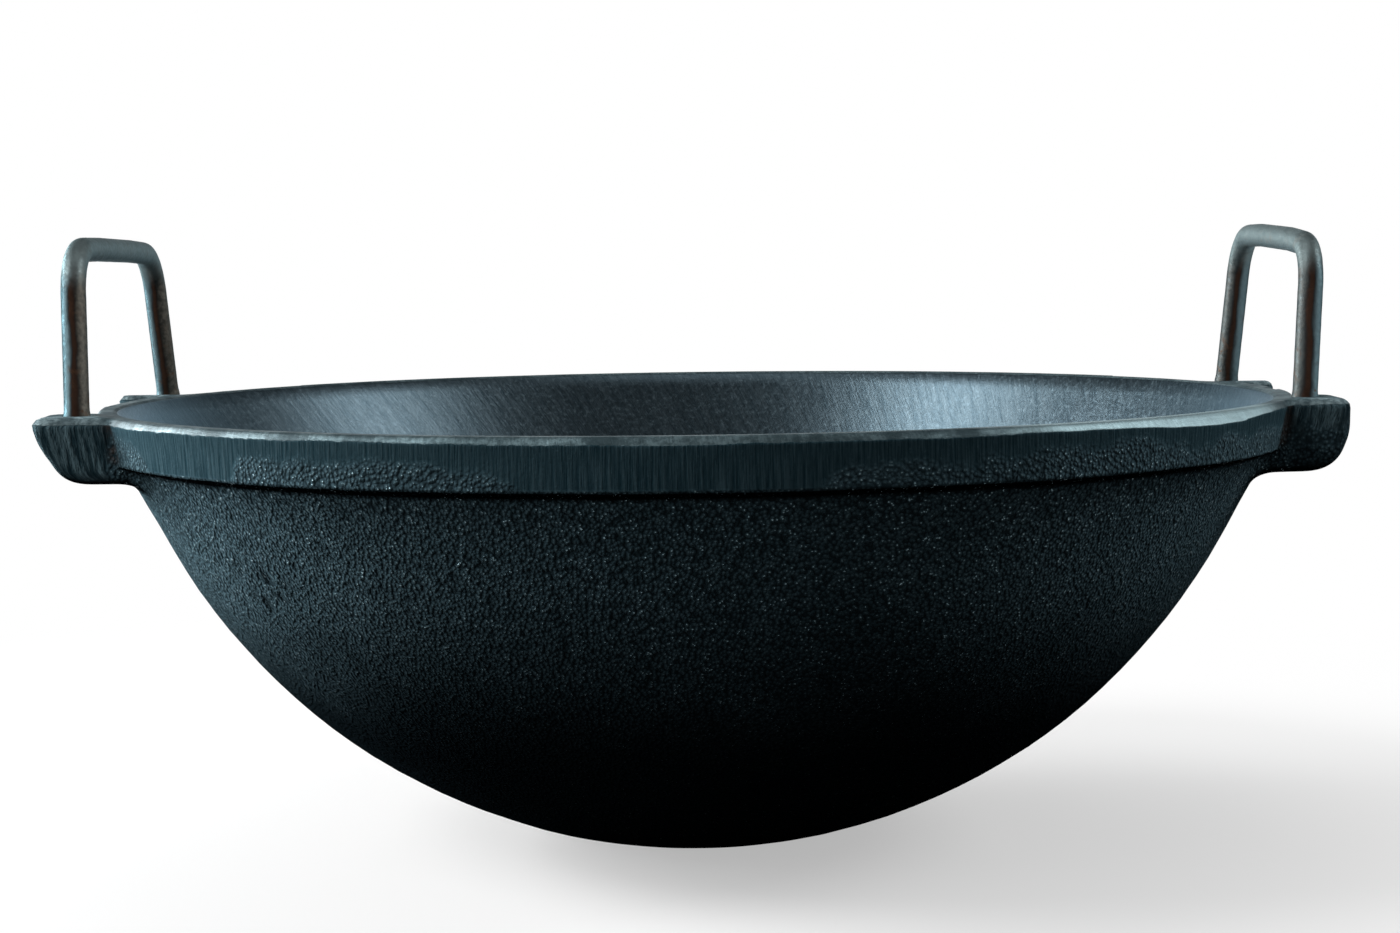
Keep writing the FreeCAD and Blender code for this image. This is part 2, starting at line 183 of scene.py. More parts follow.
# Where the finishes lie; bearings and half widths round the bowl are in degrees from +X
PITTED_PLACE = (-96 * MM, -89 * MM, 74 * MM)
PITTED_CORE = 4 * MM
PITTED_REACH = 13 * MM
BAND_STARTS, BAND_FULL = BAND_FOOT + 0.1 * MM, BAND_FOOT + 0.9 * MM
CORNER_RUST_FULL = BAND_FOOT + 2 * MM
MIDDLE_SOFT = 1 * MM
GROUND_EDGE = BAND_FOOT + 5.2 * MM
GROUND_EDGE_SOFT = (-1.6 * MM, 2.0 * MM)
FILED_EDGE_SOFT = (-2 * MM, 2 * MM)
GROUND_PATCHES = ((-92, 15), (-139, 9), (40, 16), (150, 14))
GROUND_PATCH_DROP = 10 * MM
EDGE_WAVER = 14 * MM
LEFT_FILED_FOOT = LIP_HEIGHT - 9 * MM
RIGHT_FILED_FOOT = LIP_HEIGHT
# Freshly ground stretch of the lip, which also gets a painted highlight
FRESH_HIGHLIGHT_BEARING, FRESH_HIGHLIGHT_WIDTH = -45, 23
PATCH_CORE = 0.6
# Painted shade: below this height the skin darkens towards the bottom, over this span, with a wavering edge
UNDERSIDE_SHADE_STARTS, UNDERSIDE_SHADE_COVERS = 93 * MM, 34 * MM
UNDERSIDE_SHADE_WAVER = 20 * MM
RUSTY_FOOT = 16 * MM
CROSSBAR_STARTS, CROSSBAR_FULL = LIP_HEIGHT + 29 * MM, LIP_HEIGHT + 37 * MM

# Grain of the sand, spacing of the grinding strokes, patches of rust, and relief
SAND_GRAIN = 0.85 * MM
BAND_STROKES = 0.7 * MM
LIP_STROKES = 0.5 * MM
INSIDE_STROKES = 0.6 * MM
INSIDE_SWEEPS = 2.4 * MM
BOWL_RUST_PATCH = 5 * MM
ROD_RUST_PATCH = 4 * MM
SKIN_RELIEF = 1.5 * MM
INSIDE_RELIEF = 0.08 * MM
ROD_RELIEF = 0.12 * MM

# Fineness of the noise in the finishes, in features per metre
TONE_FINENESS = 30.0
GROUND_EDGE_FINENESS = 55.0
STAIN_FINENESS = 75.0
FILED_EDGE_FINENESS = 120.0
STREAK_FINENESS = 190.0
GOUGE_FINENESS = 230.0
WEAR_FINENESS = 260.0
ROD_PIT_FINENESS = 420.0
CHIP_FINENESS = 500.0
MOTTLE_FINENESS = 800.0
SPECK_FINENESS = 900.0

# Colours of the finishes, as linear red, green and blue; tints that come in twos run from dark to light.
# The tints of sheen and glare go straight into a shader, so they have an alpha too.
RUST_TINTS = (0.028, 0.013, 0.008), (0.16, 0.075, 0.034)
SKIN_TINTS = (0.047, 0.089, 0.110), (0.069, 0.121, 0.148)
# Painted highlight for the grain's tops and painted shade for its hollows
GRAIN_TOP_HIGHLIGHT = (0.138, 0.222, 0.256)
GRAIN_HOLLOW_SHADE = (0.006, 0.011, 0.014)
# Painted shade: the near-black colour that the skin fades to towards the bottom
PAINTED_UNDERSIDE_SHADE = (0.0025, 0.0045, 0.006)
BAND_TINTS = (0.015, 0.040, 0.053), (0.056, 0.104, 0.126)
FILED_TINTS = (0.016, 0.036, 0.046), (0.14, 0.22, 0.25)
# Painted shade on the lugs
PAINTED_LUG_SHADE = (0.010, 0.016, 0.019)
WORN_EDGE = (0.15, 0.21, 0.23)
# Painted shade in crevices, under the band's ledge and in the lugs' corners
CREVICE_SHADE = (0.002, 0.003, 0.004)
# Painted glint on the bare grain tops
BARE_IRON_GLINT = (0.28, 0.39, 0.43)
OIL_SHEEN = (0.52, 0.85, 1.0, 1.0)
LIP_TINTS = (0.048, 0.078, 0.09), (0.18, 0.252, 0.272)
LIP_ON_LUG = (0.27, 0.36, 0.385)
# Painted highlight on the lip's freshly ground front right
LIP_FRESH_HIGHLIGHT = (0.27, 0.38, 0.41)
LIP_MOTTLE = (0.034, 0.056, 0.064)
LIP_STAIN = (0.026, 0.043, 0.050)
LIP_EDGE = (0.30, 0.39, 0.41)
INSIDE_TINTS = (0.028, 0.046, 0.058), (0.074, 0.104, 0.122)
INSIDE_GLITTER = (0.13, 0.18, 0.205)
INSIDE_GLARE = (0.66, 0.86, 1.0, 1.0)
CROSSBAR_TINTS = (0.105, 0.138, 0.142), (0.180, 0.220, 0.222)
SCALE_TINTS = (0.005, 0.006, 0.007), (0.024, 0.022, 0.021)
# Painted highlights down the legs' outer and inner sides, and painted shade on the right handle's inner side
LEG_OUTER_HIGHLIGHT = (0.085, 0.130, 0.146)
LEG_INNER_HIGHLIGHTS = (0.060, 0.058, 0.050), (0.125, 0.116, 0.098)
RIGHT_LEG_INNER_SHADE = (0.024, 0.033, 0.037)
HEAT_LINE = (0.040, 0.019, 0.011)
STEEL_GLARE = (0.30, 0.42, 0.48, 1.0)
BLACK, WHITE = (0, 0, 0), (1, 1, 1)
FLOOR_SEEN, FLOOR_BOUNCE = (0.8, 0.8, 0.8), (0.04, 0.04, 0.04)
ROOM_OVERHEAD, ROOM_LIGHT = (0.05, 0.05, 0.05), (0.08, 0.08, 0.08)

# Floor and lights: the windows are far away, and the boxes stand near by with their sizes
FLOOR_HALF = 8.0
FLOOR_HEIGHT = -0.05 * MM
SHADOW_CORE, SHADOW_REACH = 0.03, 0.45
HORIZON_ENDS, OVERHEAD_STARTS = 0.22, 0.5
LIGHT_AIM = (0, 0, 0.08)
WINDOW_ANGLE = math.radians(26)
WINDOWS = {
    "left_window": ((-0.70, -0.22, 0.77), 1.9),
    "right_window": ((0.77, 0.02, 0.72), 1.0),
}
BOXES = {
    "left_box": ((-1.0, 0.40, 0.31), 26.0, 0.5),
    "left_front_box": ((-1.0, -0.55, 0.35), 2.2, 0.4),
    "right_box": ((1.0, 0.05, 0.45), 1.7, 0.5),
    "front_box": ((0.0, -1.1, 0.40), 0.3, 0.5),
    "overhead_box": ((0, 0.05, 1.2), 1.2, 0.5),
}

# Where the photograph was taken from
PHOTO_WIDTH = 1400
FOCAL_PIXELS = 2511
SENSOR_WIDTH = 36
NEAREST_VIEW = 10 * MM
CAMERA_PLACE = Vector((0, -645 * MM, LIP_HEIGHT + 33.96 * MM))
CAMERA_PITCH, CAMERA_YAW, CAMERA_ROLL = 0.0805, -0.0015, -0.0133


# Node building

def set_socket(tree, socket, value):
    """Gives an input its value, or links it to the socket that feeds it."""
    if isinstance(value, bpy.types.NodeSocket):
        tree.links.new(value, socket)
    else:
        socket.default_value = value


def wire(tree, kind, sockets=None, **settings):
    """Adds a node; sockets maps its inputs to values or to the sockets that feed them."""
    node = tree.nodes.new(kind)
    for name, value in settings.items():
        setattr(node, name, value)
    for key, value in (sockets or {}).items():
        set_socket(tree, node.inputs[key], value)
    return node


def feed(tree, node, **sockets):
    """Sets a node's inputs by name; underscores stand for the spaces in the names."""
    for label, value in sockets.items():
        set_socket(tree, node.inputs[label.replace("_", " ")], value)


def calc(tree, operation, *values, clamp=False):
    """One step of arithmetic."""
    node = wire(tree, "ShaderNodeMath", dict(enumerate(values)), operation=operation, use_clamp=clamp)
    return node.outputs[0]


def chain(operation):
    """A function that joins values by one operation, from the first to the last."""
    def joined(tree, first, *others):
        for other in others:
            first = calc(tree, operation, first, other)
        return first

    return joined


plus, minus, times = chain("ADD"), chain("SUBTRACT"), chain("MULTIPLY")


def between(tree, value, low, high, to_low=0.0, to_high=1.0):
    """Maps a value smoothly from low..high onto to_low..to_high."""
    sockets = {"Value": value, "From Min": low, "From Max": high, "To Min": to_low, "To Max": to_high}
    return wire(tree, "ShaderNodeMapRange", sockets, interpolation_type="SMOOTHSTEP").outputs["Result"]


def blend(tree, share, first, second):
    """Mixes two colours."""
    node = wire(tree, "ShaderNodeMix", data_type="RGBA", clamp_result=False)
    sockets = {item.identifier: item for item in (*node.inputs, *node.outputs)}
    set_socket(tree, sockets["Factor_Float"], share)
    for name, colour in (("A_Color", first), ("B_Color", second)):
        set_socket(tree, sockets[name], (*colour, 1) if isinstance(colour, tuple) else colour)
    return sockets["Result_Color"]


def level(tree, share, first, second):
    """Mixes two values."""
    return wire(tree, "ShaderNodeMix", {0: share, 2: first, 3: second}, data_type="FLOAT").outputs[0]


def cloud(tree, vector, scale, detail=3.0, roughness=0.55, distortion=0.0):
    """Noise over the object, as a value."""
    sockets = {"Vector": vector, "Scale": scale, "Detail": detail, "Roughness": roughness,
               "Distortion": distortion}
    return wire(tree, "ShaderNodeTexNoise", sockets).outputs[0]


def object_place(tree):
    return wire(tree, "ShaderNodeTexCoord").outputs["Object"]


def split(tree, vector):
    """The X, Y and Z of a vector."""
    return wire(tree, "ShaderNodeSeparateXYZ", {0: vector}).outputs


def drawn_out(tree, place, rise):
    """The place with its height scaled, which makes patterns on it taller."""
    return wire(tree, "ShaderNodeMapping", {0: place, "Scale": (1.0, 1.0, rise)}).outputs[0]


def start_group(name, kind, inputs, outputs):
    """A node group with named sockets; returns the tree, its input sockets and a function that ends it."""
    tree = bpy.data.node_groups.new(name, kind)
    for label, socket, value in inputs:
        item = tree.interface.new_socket(label, in_out="INPUT", socket_type=socket)
        if value is not None:
            item.default_value = value
    for label, socket in outputs:
        tree.interface.new_socket(label, in_out="OUTPUT", socket_type=socket)
    entry = wire(tree, "NodeGroupInput")

    def end(sockets):
        wire(tree, "NodeGroupOutput", sockets)
        return tree

    return tree, entry.outputs, end


def place_group(tree, group, **values):
    """Puts a shader group in a tree, with its own values."""
    node = wire(tree, "ShaderNodeGroup", node_tree=group)
    feed(tree, node, **values)
    return node.outputs


# Shared finishes

def sand_cast_grain():
    """Grain that the mould's sand leaves: rounded bumps, with pits where sand grains stuck."""
    tree, given, end = start_group(
        "sand_cast_grain", "ShaderNodeTree",
        (("Grain size", "NodeSocketFloat", 1 * MM), ("Pitting", "NodeSocketFloat", 0.5)),
        [(label, "NodeSocketFloat") for label in ("Height", "Tops", "Valleys", "Glints")])
    place = object_place(tree)
    fine = calc(tree, "DIVIDE", 1.0, given["Grain size"])
    coarse = times(tree, fine, 0.4)
    grains = wire(tree, "ShaderNodeTexVoronoi",
                  {"Vector": place, "Scale": fine, "Smoothness": 0.3, "Randomness": 1.0},
                  feature="SMOOTH_F1").outputs["Distance"]
    bumps = calc(tree, "SUBTRACT", 1.0, grains, clamp=True)
    ripple = cloud(tree, place, coarse, detail=3.0, roughness=0.6)
    pits = between(tree, cloud(tree, place, coarse, detail=1.0), 0.34, 0.22)
    height = plus(tree, times(tree, bumps, 0.8), times(tree, ripple, 0.45))
    height = minus(tree, height, times(tree, pits, given["Pitting"]))
    chosen = between(tree, cloud(tree, place, times(tree, fine, 0.6), detail=1.0), 0.46, 0.6)
    glints = times(tree, between(tree, height, 0.84, 0.96), chosen)
    return end({"Height": height, "Tops": between(tree, height, 0.72, 0.95),
                "Valleys": between(tree, height, 0.70, 0.46), "Glints": glints})


def grinding_strokes():
    """Fine scratches of a hand grinder, which run up the bowl's side and lean by the slant."""
    tree, given, end = start_group(
        "grinding_strokes", "ShaderNodeTree",
        (("Spacing", "NodeSocketFloat", 0.6 * MM), ("Slant", "NodeSocketFloat", 0.0),
         ("Length", "NodeSocketFloat", 14.0)),
        (("Strokes", "NodeSocketFloat"),))
    axes = split(tree, object_place(tree))
    angle = calc(tree, "ARCTAN2", axes["Y"], axes["X"])
    across = plus(tree, times(tree, angle, RIM_RADIUS), times(tree, axes["Z"], given["Slant"]))
    across = calc(tree, "DIVIDE", across, given["Spacing"])
    along = calc(tree, "DIVIDE", axes["Z"], times(tree, given["Spacing"], given["Length"]))
    lines = wire(tree, "ShaderNodeCombineXYZ", {"X": across, "Y": along}).outputs[0]
    return end({"Strokes": cloud(tree, lines, 1.0, detail=4.0, roughness=0.7)})


def rust_bloom():
    """Patches of brown rust film with broken edges."""
    tree, given, end = start_group(
        "rust_bloom", "ShaderNodeTree",
        (("Patch size", "NodeSocketFloat", 6 * MM), ("Cover", "NodeSocketFloat", 0.3)),
        (("Rust", "NodeSocketFloat"), ("Colour", "NodeSocketColor")))
    place = object_place(tree)
    scale = calc(tree, "DIVIDE", 1.0, given["Patch size"])
    patches = cloud(tree, place, scale, detail=6.0, roughness=0.7, distortion=0.4)
    edge = minus(tree, 0.78, times(tree, given["Cover"], 0.6))
    rust = between(tree, minus(tree, patches, edge), -0.06, 0.08)
    shade = cloud(tree, place, times(tree, scale, 3.0), detail=3.0)
    return end({"Rust": rust, "Colour": blend(tree, shade, *RUST_TINTS)})


GRAIN = sand_cast_grain()
STROKES = grinding_strokes()
RUST = rust_bloom()


def new_material(name):
    material = bpy.data.materials.new(name)
    material.use_nodes = True
    tree = material.node_tree
    tree.nodes.clear()
    shader = wire(tree, "ShaderNodeBsdfPrincipled")
    wire(tree, "ShaderNodeOutputMaterial", {"Surface": shader.outputs[0]})
    return material, tree, shader


def raised(tree, height, depth):
    """A normal that stands out by a height of so many metres."""
    return wire(tree, "ShaderNodeBump", {"Height": height, "Distance": depth, "Strength": 1.0}).outputs[0]


def vertex_value(tree, name):
    return wire(tree, "ShaderNodeAttribute", attribute_name=name).outputs["Fac"]


def patch_round(tree, angle, middle, width):
    """1 at one bearing round the bowl, falling to 0 at a width to each side."""
    away = calc(tree, "ABSOLUTE", minus(tree, angle, math.radians(middle)))
    return between(tree, away, math.radians(width), math.radians(width * PATCH_CORE))


def by_side(tree, axes, left, right):
    """One value on the left half of the pan and another on the right half."""
    return between(tree, axes["X"], -MIDDLE_SOFT, MIDDLE_SOFT, left, right)


# Finish of the bowl's outside

def ground_area(tree, place, axes, angle, on_band, lug):
    """1 where the grinder took the casting skin off: the upper band, patches below that, and the lugs."""
    waver = minus(tree, cloud(tree, place, GROUND_EDGE_FINENESS, 4.0), 0.5)
    edge_height = plus(tree, GROUND_EDGE, times(tree, waver, EDGE_WAVER))
    for bearing, width in GROUND_PATCHES:
        patch = patch_round(tree, angle, bearing, width)
        edge_height = minus(tree, edge_height, times(tree, patch, GROUND_PATCH_DROP))
    above_edge = between(tree, minus(tree, axes["Z"], edge_height), *GROUND_EDGE_SOFT)
    waver = times(tree, cloud(tree, place, FILED_EDGE_FINENESS, 3.0), EDGE_WAVER)
    filed_foot = by_side(tree, axes, LEFT_FILED_FOOT, RIGHT_FILED_FOOT)
    filed = between(tree, minus(tree, plus(tree, waver, axes["Z"]), filed_foot), *FILED_EDGE_SOFT)
    return level(tree, lug, times(tree, on_band, above_edge), filed)


def pitted_patch(tree, place):
    """1 in the gouges of a patch on the front left where sand broke out of the mould."""
    away = wire(tree, "ShaderNodeVectorMath", {0: place, 1: PITTED_PLACE}, operation="DISTANCE")
    near = between(tree, away.outputs["Value"], PITTED_REACH, PITTED_CORE)
    gouges = wire(tree, "ShaderNodeTexVoronoi",
                  {"Vector": drawn_out(tree, place, 0.45), "Scale": GOUGE_FINENESS, "Randomness": 1.0})
    return times(tree, near, between(tree, gouges.outputs["Distance"], 0.5, 0.2))


def oiled_skin(tree, place, axes, grain, pits, on_band):
    """Colour of the skin that was left as cast, with painted shade that darkens it towards the bottom, and
    the share of that shade.
    """
    tone = cloud(tree, place, TONE_FINENESS, 3.0)
    skin = blend(tree, tone, *SKIN_TINTS)
    # Painted highlight on the grain's tops, and painted shade in its valleys and in the pitted patch's gouges
    skin = blend(tree, grain["Tops"], skin, GRAIN_TOP_HIGHLIGHT)
    valleys = times(tree, grain["Valleys"], level(tree, on_band, 0.78, 0.55))
    hollow_shade = calc(tree, "MAXIMUM", valleys, times(tree, pits, 0.9))
    skin = blend(tree, hollow_shade, skin, GRAIN_HOLLOW_SHADE)
    # Painted shade: the skin goes nearly black towards the bottom, where little light reaches
    underside_shade_edge = plus(tree, axes["Z"], times(tree, minus(tree, tone, 0.5), UNDERSIDE_SHADE_WAVER))
    underside_shade = between(tree, underside_shade_edge, UNDERSIDE_SHADE_STARTS, UNDERSIDE_SHADE_COVERS, 0.0, 0.95)
    return blend(tree, underside_shade, skin, PAINTED_UNDERSIDE_SHADE), underside_shade


def worked_iron(tree, strokes, facets, lug):
    """Colour of the ground band, and of the filed facets on the lugs."""
    band = blend(tree, between(tree, strokes, 0.34, 0.7), *BAND_TINTS)
    filed = blend(tree, between(tree, facets, 0.40, 0.64), *FILED_TINTS)
    return blend(tree, times(tree, lug, 0.8), band, filed)


def ground_lip(tree, place, axes, fresh_highlight):
    """Iron ground bright on the lip, freshest on the right, which also gets a painted highlight: its colour,
    metal share, roughness and height.
    """
    strokes = place_group(tree, STROKES, Spacing=LIP_STROKES, Slant=0.3, Length=9.0)["Strokes"]
    square = plus(tree, times(tree, axes["X"], axes["X"]), times(tree, axes["Y"], axes["Y"]))
    lug_top = between(tree, calc(tree, "SQRT", square), RIM_RADIUS, RIM_RADIUS + RIM_BLEND)
    bright = blend(tree, strokes, *LIP_TINTS)
    bright = blend(tree, times(tree, lug_top, 0.8), bright, LIP_ON_LUG)
    bright = blend(tree, fresh_highlight, bright, LIP_FRESH_HIGHLIGHT)
    mottle = between(tree, cloud(tree, place, MOTTLE_FINENESS, 3.0, 0.6), 0.42, 0.62)
    bright = blend(tree, times(tree, mottle, level(tree, fresh_highlight, 0.6, 0.1)), bright, LIP_MOTTLE)
    stain = between(tree, cloud(tree, place, STAIN_FINENESS, 6.0, 0.7), 0.40, 0.62)
    stain = times(tree, stain, level(tree, fresh_highlight, 0.8, 0.15))
    colour = blend(tree, stain, bright, LIP_STAIN)
    colour = blend(tree, times(tree, vertex_value(tree, "edge_wear"), 0.5), colour, LIP_EDGE)
    roughness = between(tree, strokes, 0.2, 0.8, 0.42, 0.6)
    metal = calc(tree, "SUBTRACT", level(tree, stain, 0.75, 0.4), times(tree, lug_top, 0.6), clamp=True)
    return colour, metal, roughness, times(tree, strokes, 0.06)


def cast_skin():
    """Outside of the bowl: dark oiled casting skin, ground along the band, on the lugs and on the lip."""
    material, tree, shader = new_material("cast_skin")
    place = object_place(tree)
    axes = split(tree, place)
    angle = calc(tree, "ARCTAN2", axes["Y"], axes["X"])
    lug = vertex_value(tree, "lug_skin")
    crevice_shade_and_rust = vertex_value(tree, "crevice_shade_and_rust")
    on_band = between(tree, axes["Z"], BAND_STARTS, BAND_FULL)
    ground = ground_area(tree, place, axes, angle, on_band, lug)
    rough_cast = times(tree, level(tree, ground, 1.0, 0.08), level(tree, lug, 1.0, 0.35))
    pits = pitted_patch(tree, place)
    grain = place_group(tree, GRAIN, Grain_size=SAND_GRAIN, Pitting=0.3)
    lean = times(tree, calc(tree, "SINE", times(tree, angle, 2.0)), -0.2)
    strokes = place_group(tree, STROKES, Spacing=BAND_STROKES, Slant=lean, Length=22.0)["Strokes"]
    facets = place_group(tree, STROKES, Spacing=BAND_STROKES, Slant=0.0, Length=16.0)["Strokes"]
    rust = place_group(tree, RUST, Patch_size=BOWL_RUST_PATCH, Cover=0.55)

    skin, underside_shade = oiled_skin(tree, place, axes, grain, pits, on_band)
    colour = blend(tree, ground, skin, worked_iron(tree, strokes, facets, lug))
    # Painted shade: the lugs are darkened, more on the right of the pan than on the left
    colour = blend(tree, times(tree, lug, by_side(tree, axes, 0.05, 0.25)), colour, PAINTED_LUG_SHADE)
    broken = between(tree, cloud(tree, place, WEAR_FINENESS, 4.0), 0.35, 0.65)
    colour = blend(tree, times(tree, vertex_value(tree, "edge_wear"), broken), colour, WORN_EDGE)
    # Painted shade: crevices, the underside of the ledge and the lugs' corners are darkened nearly to black
    colour = blend(tree, times(tree, crevice_shade_and_rust, 0.96), colour, CREVICE_SHADE)
    above_ledge = between(tree, axes["Z"], BAND_FOOT, CORNER_RUST_FULL, 0.0, 0.5)
    rusty = times(tree, rust["Rust"], times(tree, crevice_shade_and_rust, above_ledge))
    colour = blend(tree, rusty, colour, rust["Colour"])
    clean = times(tree, rough_cast, minus(tree, 1.0, underside_shade))
    # Glinting grain tops are bare metal, and their colour is also lightened as a painted glint
    bare_glints = times(tree, grain["Glints"], clean, level(tree, lug, 0.6, 0.1))
    colour = blend(tree, bare_glints, colour, BARE_IRON_GLINT)

    bumps = times(tree, grain["Height"], level(tree, on_band, 1.0, 0.6))
    height = plus(tree, times(tree, bumps, rough_cast), times(tree, strokes, ground, 0.22),
                  times(tree, facets, lug, 1.2))
    height = minus(tree, height, times(tree, pits, 1.2))
    gloss = plus(tree, between(tree, grain["Height"], 0.5, 1.1, 0.5, 0.32), times(tree, rusty, 0.3))

    # The ground lip begins at the bevel's lower edge, which is chipped
    # The lip's front right is freshly ground and also gets a painted highlight
    fresh_highlight = patch_round(tree, angle, FRESH_HIGHLIGHT_BEARING, FRESH_HIGHLIGHT_WIDTH)
    chips = minus(tree, cloud(tree, place, CHIP_FINENESS, 3.0), 0.5)
    chips = times(tree, chips, level(tree, fresh_highlight, 0.7, 0.1))
    lip = between(tree, plus(tree, vertex_value(tree, "above_bevel"), chips), -0.12, 0.12)
    lip_colour, lip_metal, lip_gloss, lip_height = ground_lip(tree, place, axes, fresh_highlight)
    feed(tree, shader,
         Base_Color=blend(tree, lip, colour, lip_colour),
         Metallic=level(tree, lip, bare_glints, lip_metal),
         Roughness=level(tree, lip, gloss, lip_gloss),
         Normal=raised(tree, level(tree, lip, height, lip_height), SKIN_RELIEF),
         Sheen_Weight=times(tree, clean, 0.14, minus(tree, 1.0, crevice_shade_and_rust)),
         Sheen_Roughness=0.4, Sheen_Tint=OIL_SHEEN, Specular_IOR_Level=0.0)
    return material


# Finishes of the bowl's inside and of the handles

def ground_inside():
    """Inside of the bowl: ground smooth in slanted sweeps, oiled and dark."""
    material, tree, shader = new_material("ground_inside")
    strokes = place_group(tree, STROKES, Spacing=INSIDE_STROKES, Slant=-0.7, Length=7.0)["Strokes"]
    broad = place_group(tree, STROKES, Spacing=INSIDE_SWEEPS, Slant=-0.5, Length=9.0)["Strokes"]
    speck = cloud(tree, object_place(tree), SPECK_FINENESS, 3.0, 0.6)
    tone = plus(tree, times(tree, strokes, 0.5), times(tree, broad, 0.5))
    colour = blend(tree, between(tree, tone, 0.3, 0.7), *INSIDE_TINTS)
    glitter = times(tree, between(tree, speck, 0.54, 0.72), 0.4)
    height = plus(tree, times(tree, strokes, 0.6), times(tree, speck, 0.6), times(tree, broad, 0.8))
    feed(tree, shader, Base_Color=blend(tree, glitter, colour, INSIDE_GLITTER), Metallic=0.9,
         Roughness=between(tree, speck, 0.2, 0.8, 0.28, 0.42), Normal=raised(tree, height, INSIDE_RELIEF),
         Specular_Tint=INSIDE_GLARE)
    return material


def leg_with_painted_highlights(tree, side, streak, pits, axes):
    """Colour round a leg: dark scale, painted highlights of grey-blue outside and brown inside, painted shade
    on the right handle's inner side, and a red-brown line between.
    """
    # Painted highlights: lighter grey-blue on the side facing out, brown on the side facing in
    outer = times(tree, between(tree, side, 0.0, 0.5), between(tree, side, 1.1, 0.7, 0.2, 1.0))
    leg = blend(tree, outer, blend(tree, streak, *SCALE_TINTS), LEG_OUTER_HIGHLIGHT)
    inner_highlight = blend(tree, between(tree, pits, 0.36, 0.68), *LEG_INNER_HIGHLIGHTS)
    inner_highlight = blend(tree, by_side(tree, axes, 0.0, 0.7), inner_highlight, RIGHT_LEG_INNER_SHADE)
    leg = blend(tree, between(tree, side, -0.25, -0.7), leg, inner_highlight)
    line = times(tree, between(tree, side, -0.45, -0.2), between(tree, side, 0.15, -0.05, 0.0, 0.75))
    return blend(tree, line, leg, HEAT_LINE)


def tinted_rod():
    """Handles: mild steel with dark scale and painted blue and brown highlights down the legs, pitted and
    rusty at its feet.
    """
    material, tree, shader = new_material("tinted_rod")
    place = object_place(tree)
    axes = split(tree, place)
    rust = place_group(tree, RUST, Patch_size=ROD_RUST_PATCH, Cover=0.3)
    streak = cloud(tree, drawn_out(tree, place, 0.3), STREAK_FINENESS, 4.0)
    pits = cloud(tree, place, SPECK_FINENESS, 3.0, 0.6)
    waver = times(tree, minus(tree, streak, 0.5), 0.9)
    side = plus(tree, vertex_value(tree, "outward_facing"), waver)
    on_crossbar = between(tree, axes["Z"], CROSSBAR_STARTS, CROSSBAR_FULL)
    leg = leg_with_painted_highlights(tree, side, streak, pits, axes)
    colour = blend(tree, on_crossbar, leg, blend(tree, streak, *CROSSBAR_TINTS))
    low = between(tree, axes["Z"], LIP_HEIGHT + RUSTY_FOOT, LIP_HEIGHT)
    rusty = times(tree, rust["Rust"], plus(tree, times(tree, low, 0.8), 0.2))
    dull = calc(tree, "MAXIMUM", rusty, between(tree, side, 0.6, 0.95))
    feed(tree, shader,
         Base_Color=blend(tree, rusty, colour, rust["Colour"]),
         Metallic=minus(tree, 0.8, times(tree, rusty, 0.5)),
         Roughness=plus(tree, between(tree, pits, 0.3, 0.7, 0.42, 0.6), times(tree, dull, 0.3)),
         Normal=raised(tree, pits, ROD_RELIEF), Specular_Tint=STEEL_GLARE, Specular_IOR_Level=0.2)
    return material


CAST_SKIN, GROUND_INSIDE, TINTED_ROD = cast_skin(), ground_inside(), tinted_rod()


# Forms made by Geometry Nodes

def run_tree(tree, source, **values):
    """Runs a Geometry Nodes tree on a mesh and returns the result as a plain mesh."""
    carrier = bpy.data.objects.new("carrier", source)
    scene.collection.objects.link(carrier)
    modifier = carrier.modifiers.new("nodes", "NODES")
    modifier.node_group = tree
    sockets = {item.name: item.identifier for item in tree.interface.items_tree if item.in_out == "INPUT"}
    for label, value in values.items():
        modifier[sockets[label.replace("_", " ")]] = value
    graph = bpy.context.evaluated_depsgraph_get()
    mesh = bpy.data.meshes.new_from_object(carrier.evaluated_get(graph))
    carrier.modifiers.remove(modifier)
    bpy.data.objects.remove(carrier)
    return mesh


def point_place(tree):
    return wire(tree, "GeometryNodeInputPosition").outputs[0]


def point_normal(tree):
    return wire(tree, "GeometryNodeInputNormal").outputs[0]


def keep_value(tree, geometry, name, value):
    """Stores a value with each point, under a name."""
    return wire(tree, "GeometryNodeStoreNamedAttribute",
                {"Geometry": geometry, "Name": name, "Value": value},
                data_type="FLOAT", domain="POINT").outputs[0]


def finished_form(tree, form, material):
    """Ends a form: smooth, made real and with its material."""
    form = wire(tree, "GeometryNodeSetShadeSmooth", {"Geometry": form}).outputs[0]
    form = wire(tree, "GeometryNodeRealizeInstances", {"Geometry": form}).outputs[0]
    return wire(tree, "GeometryNodeSetMaterial", {"Geometry": form, "Material": material}).outputs[0]


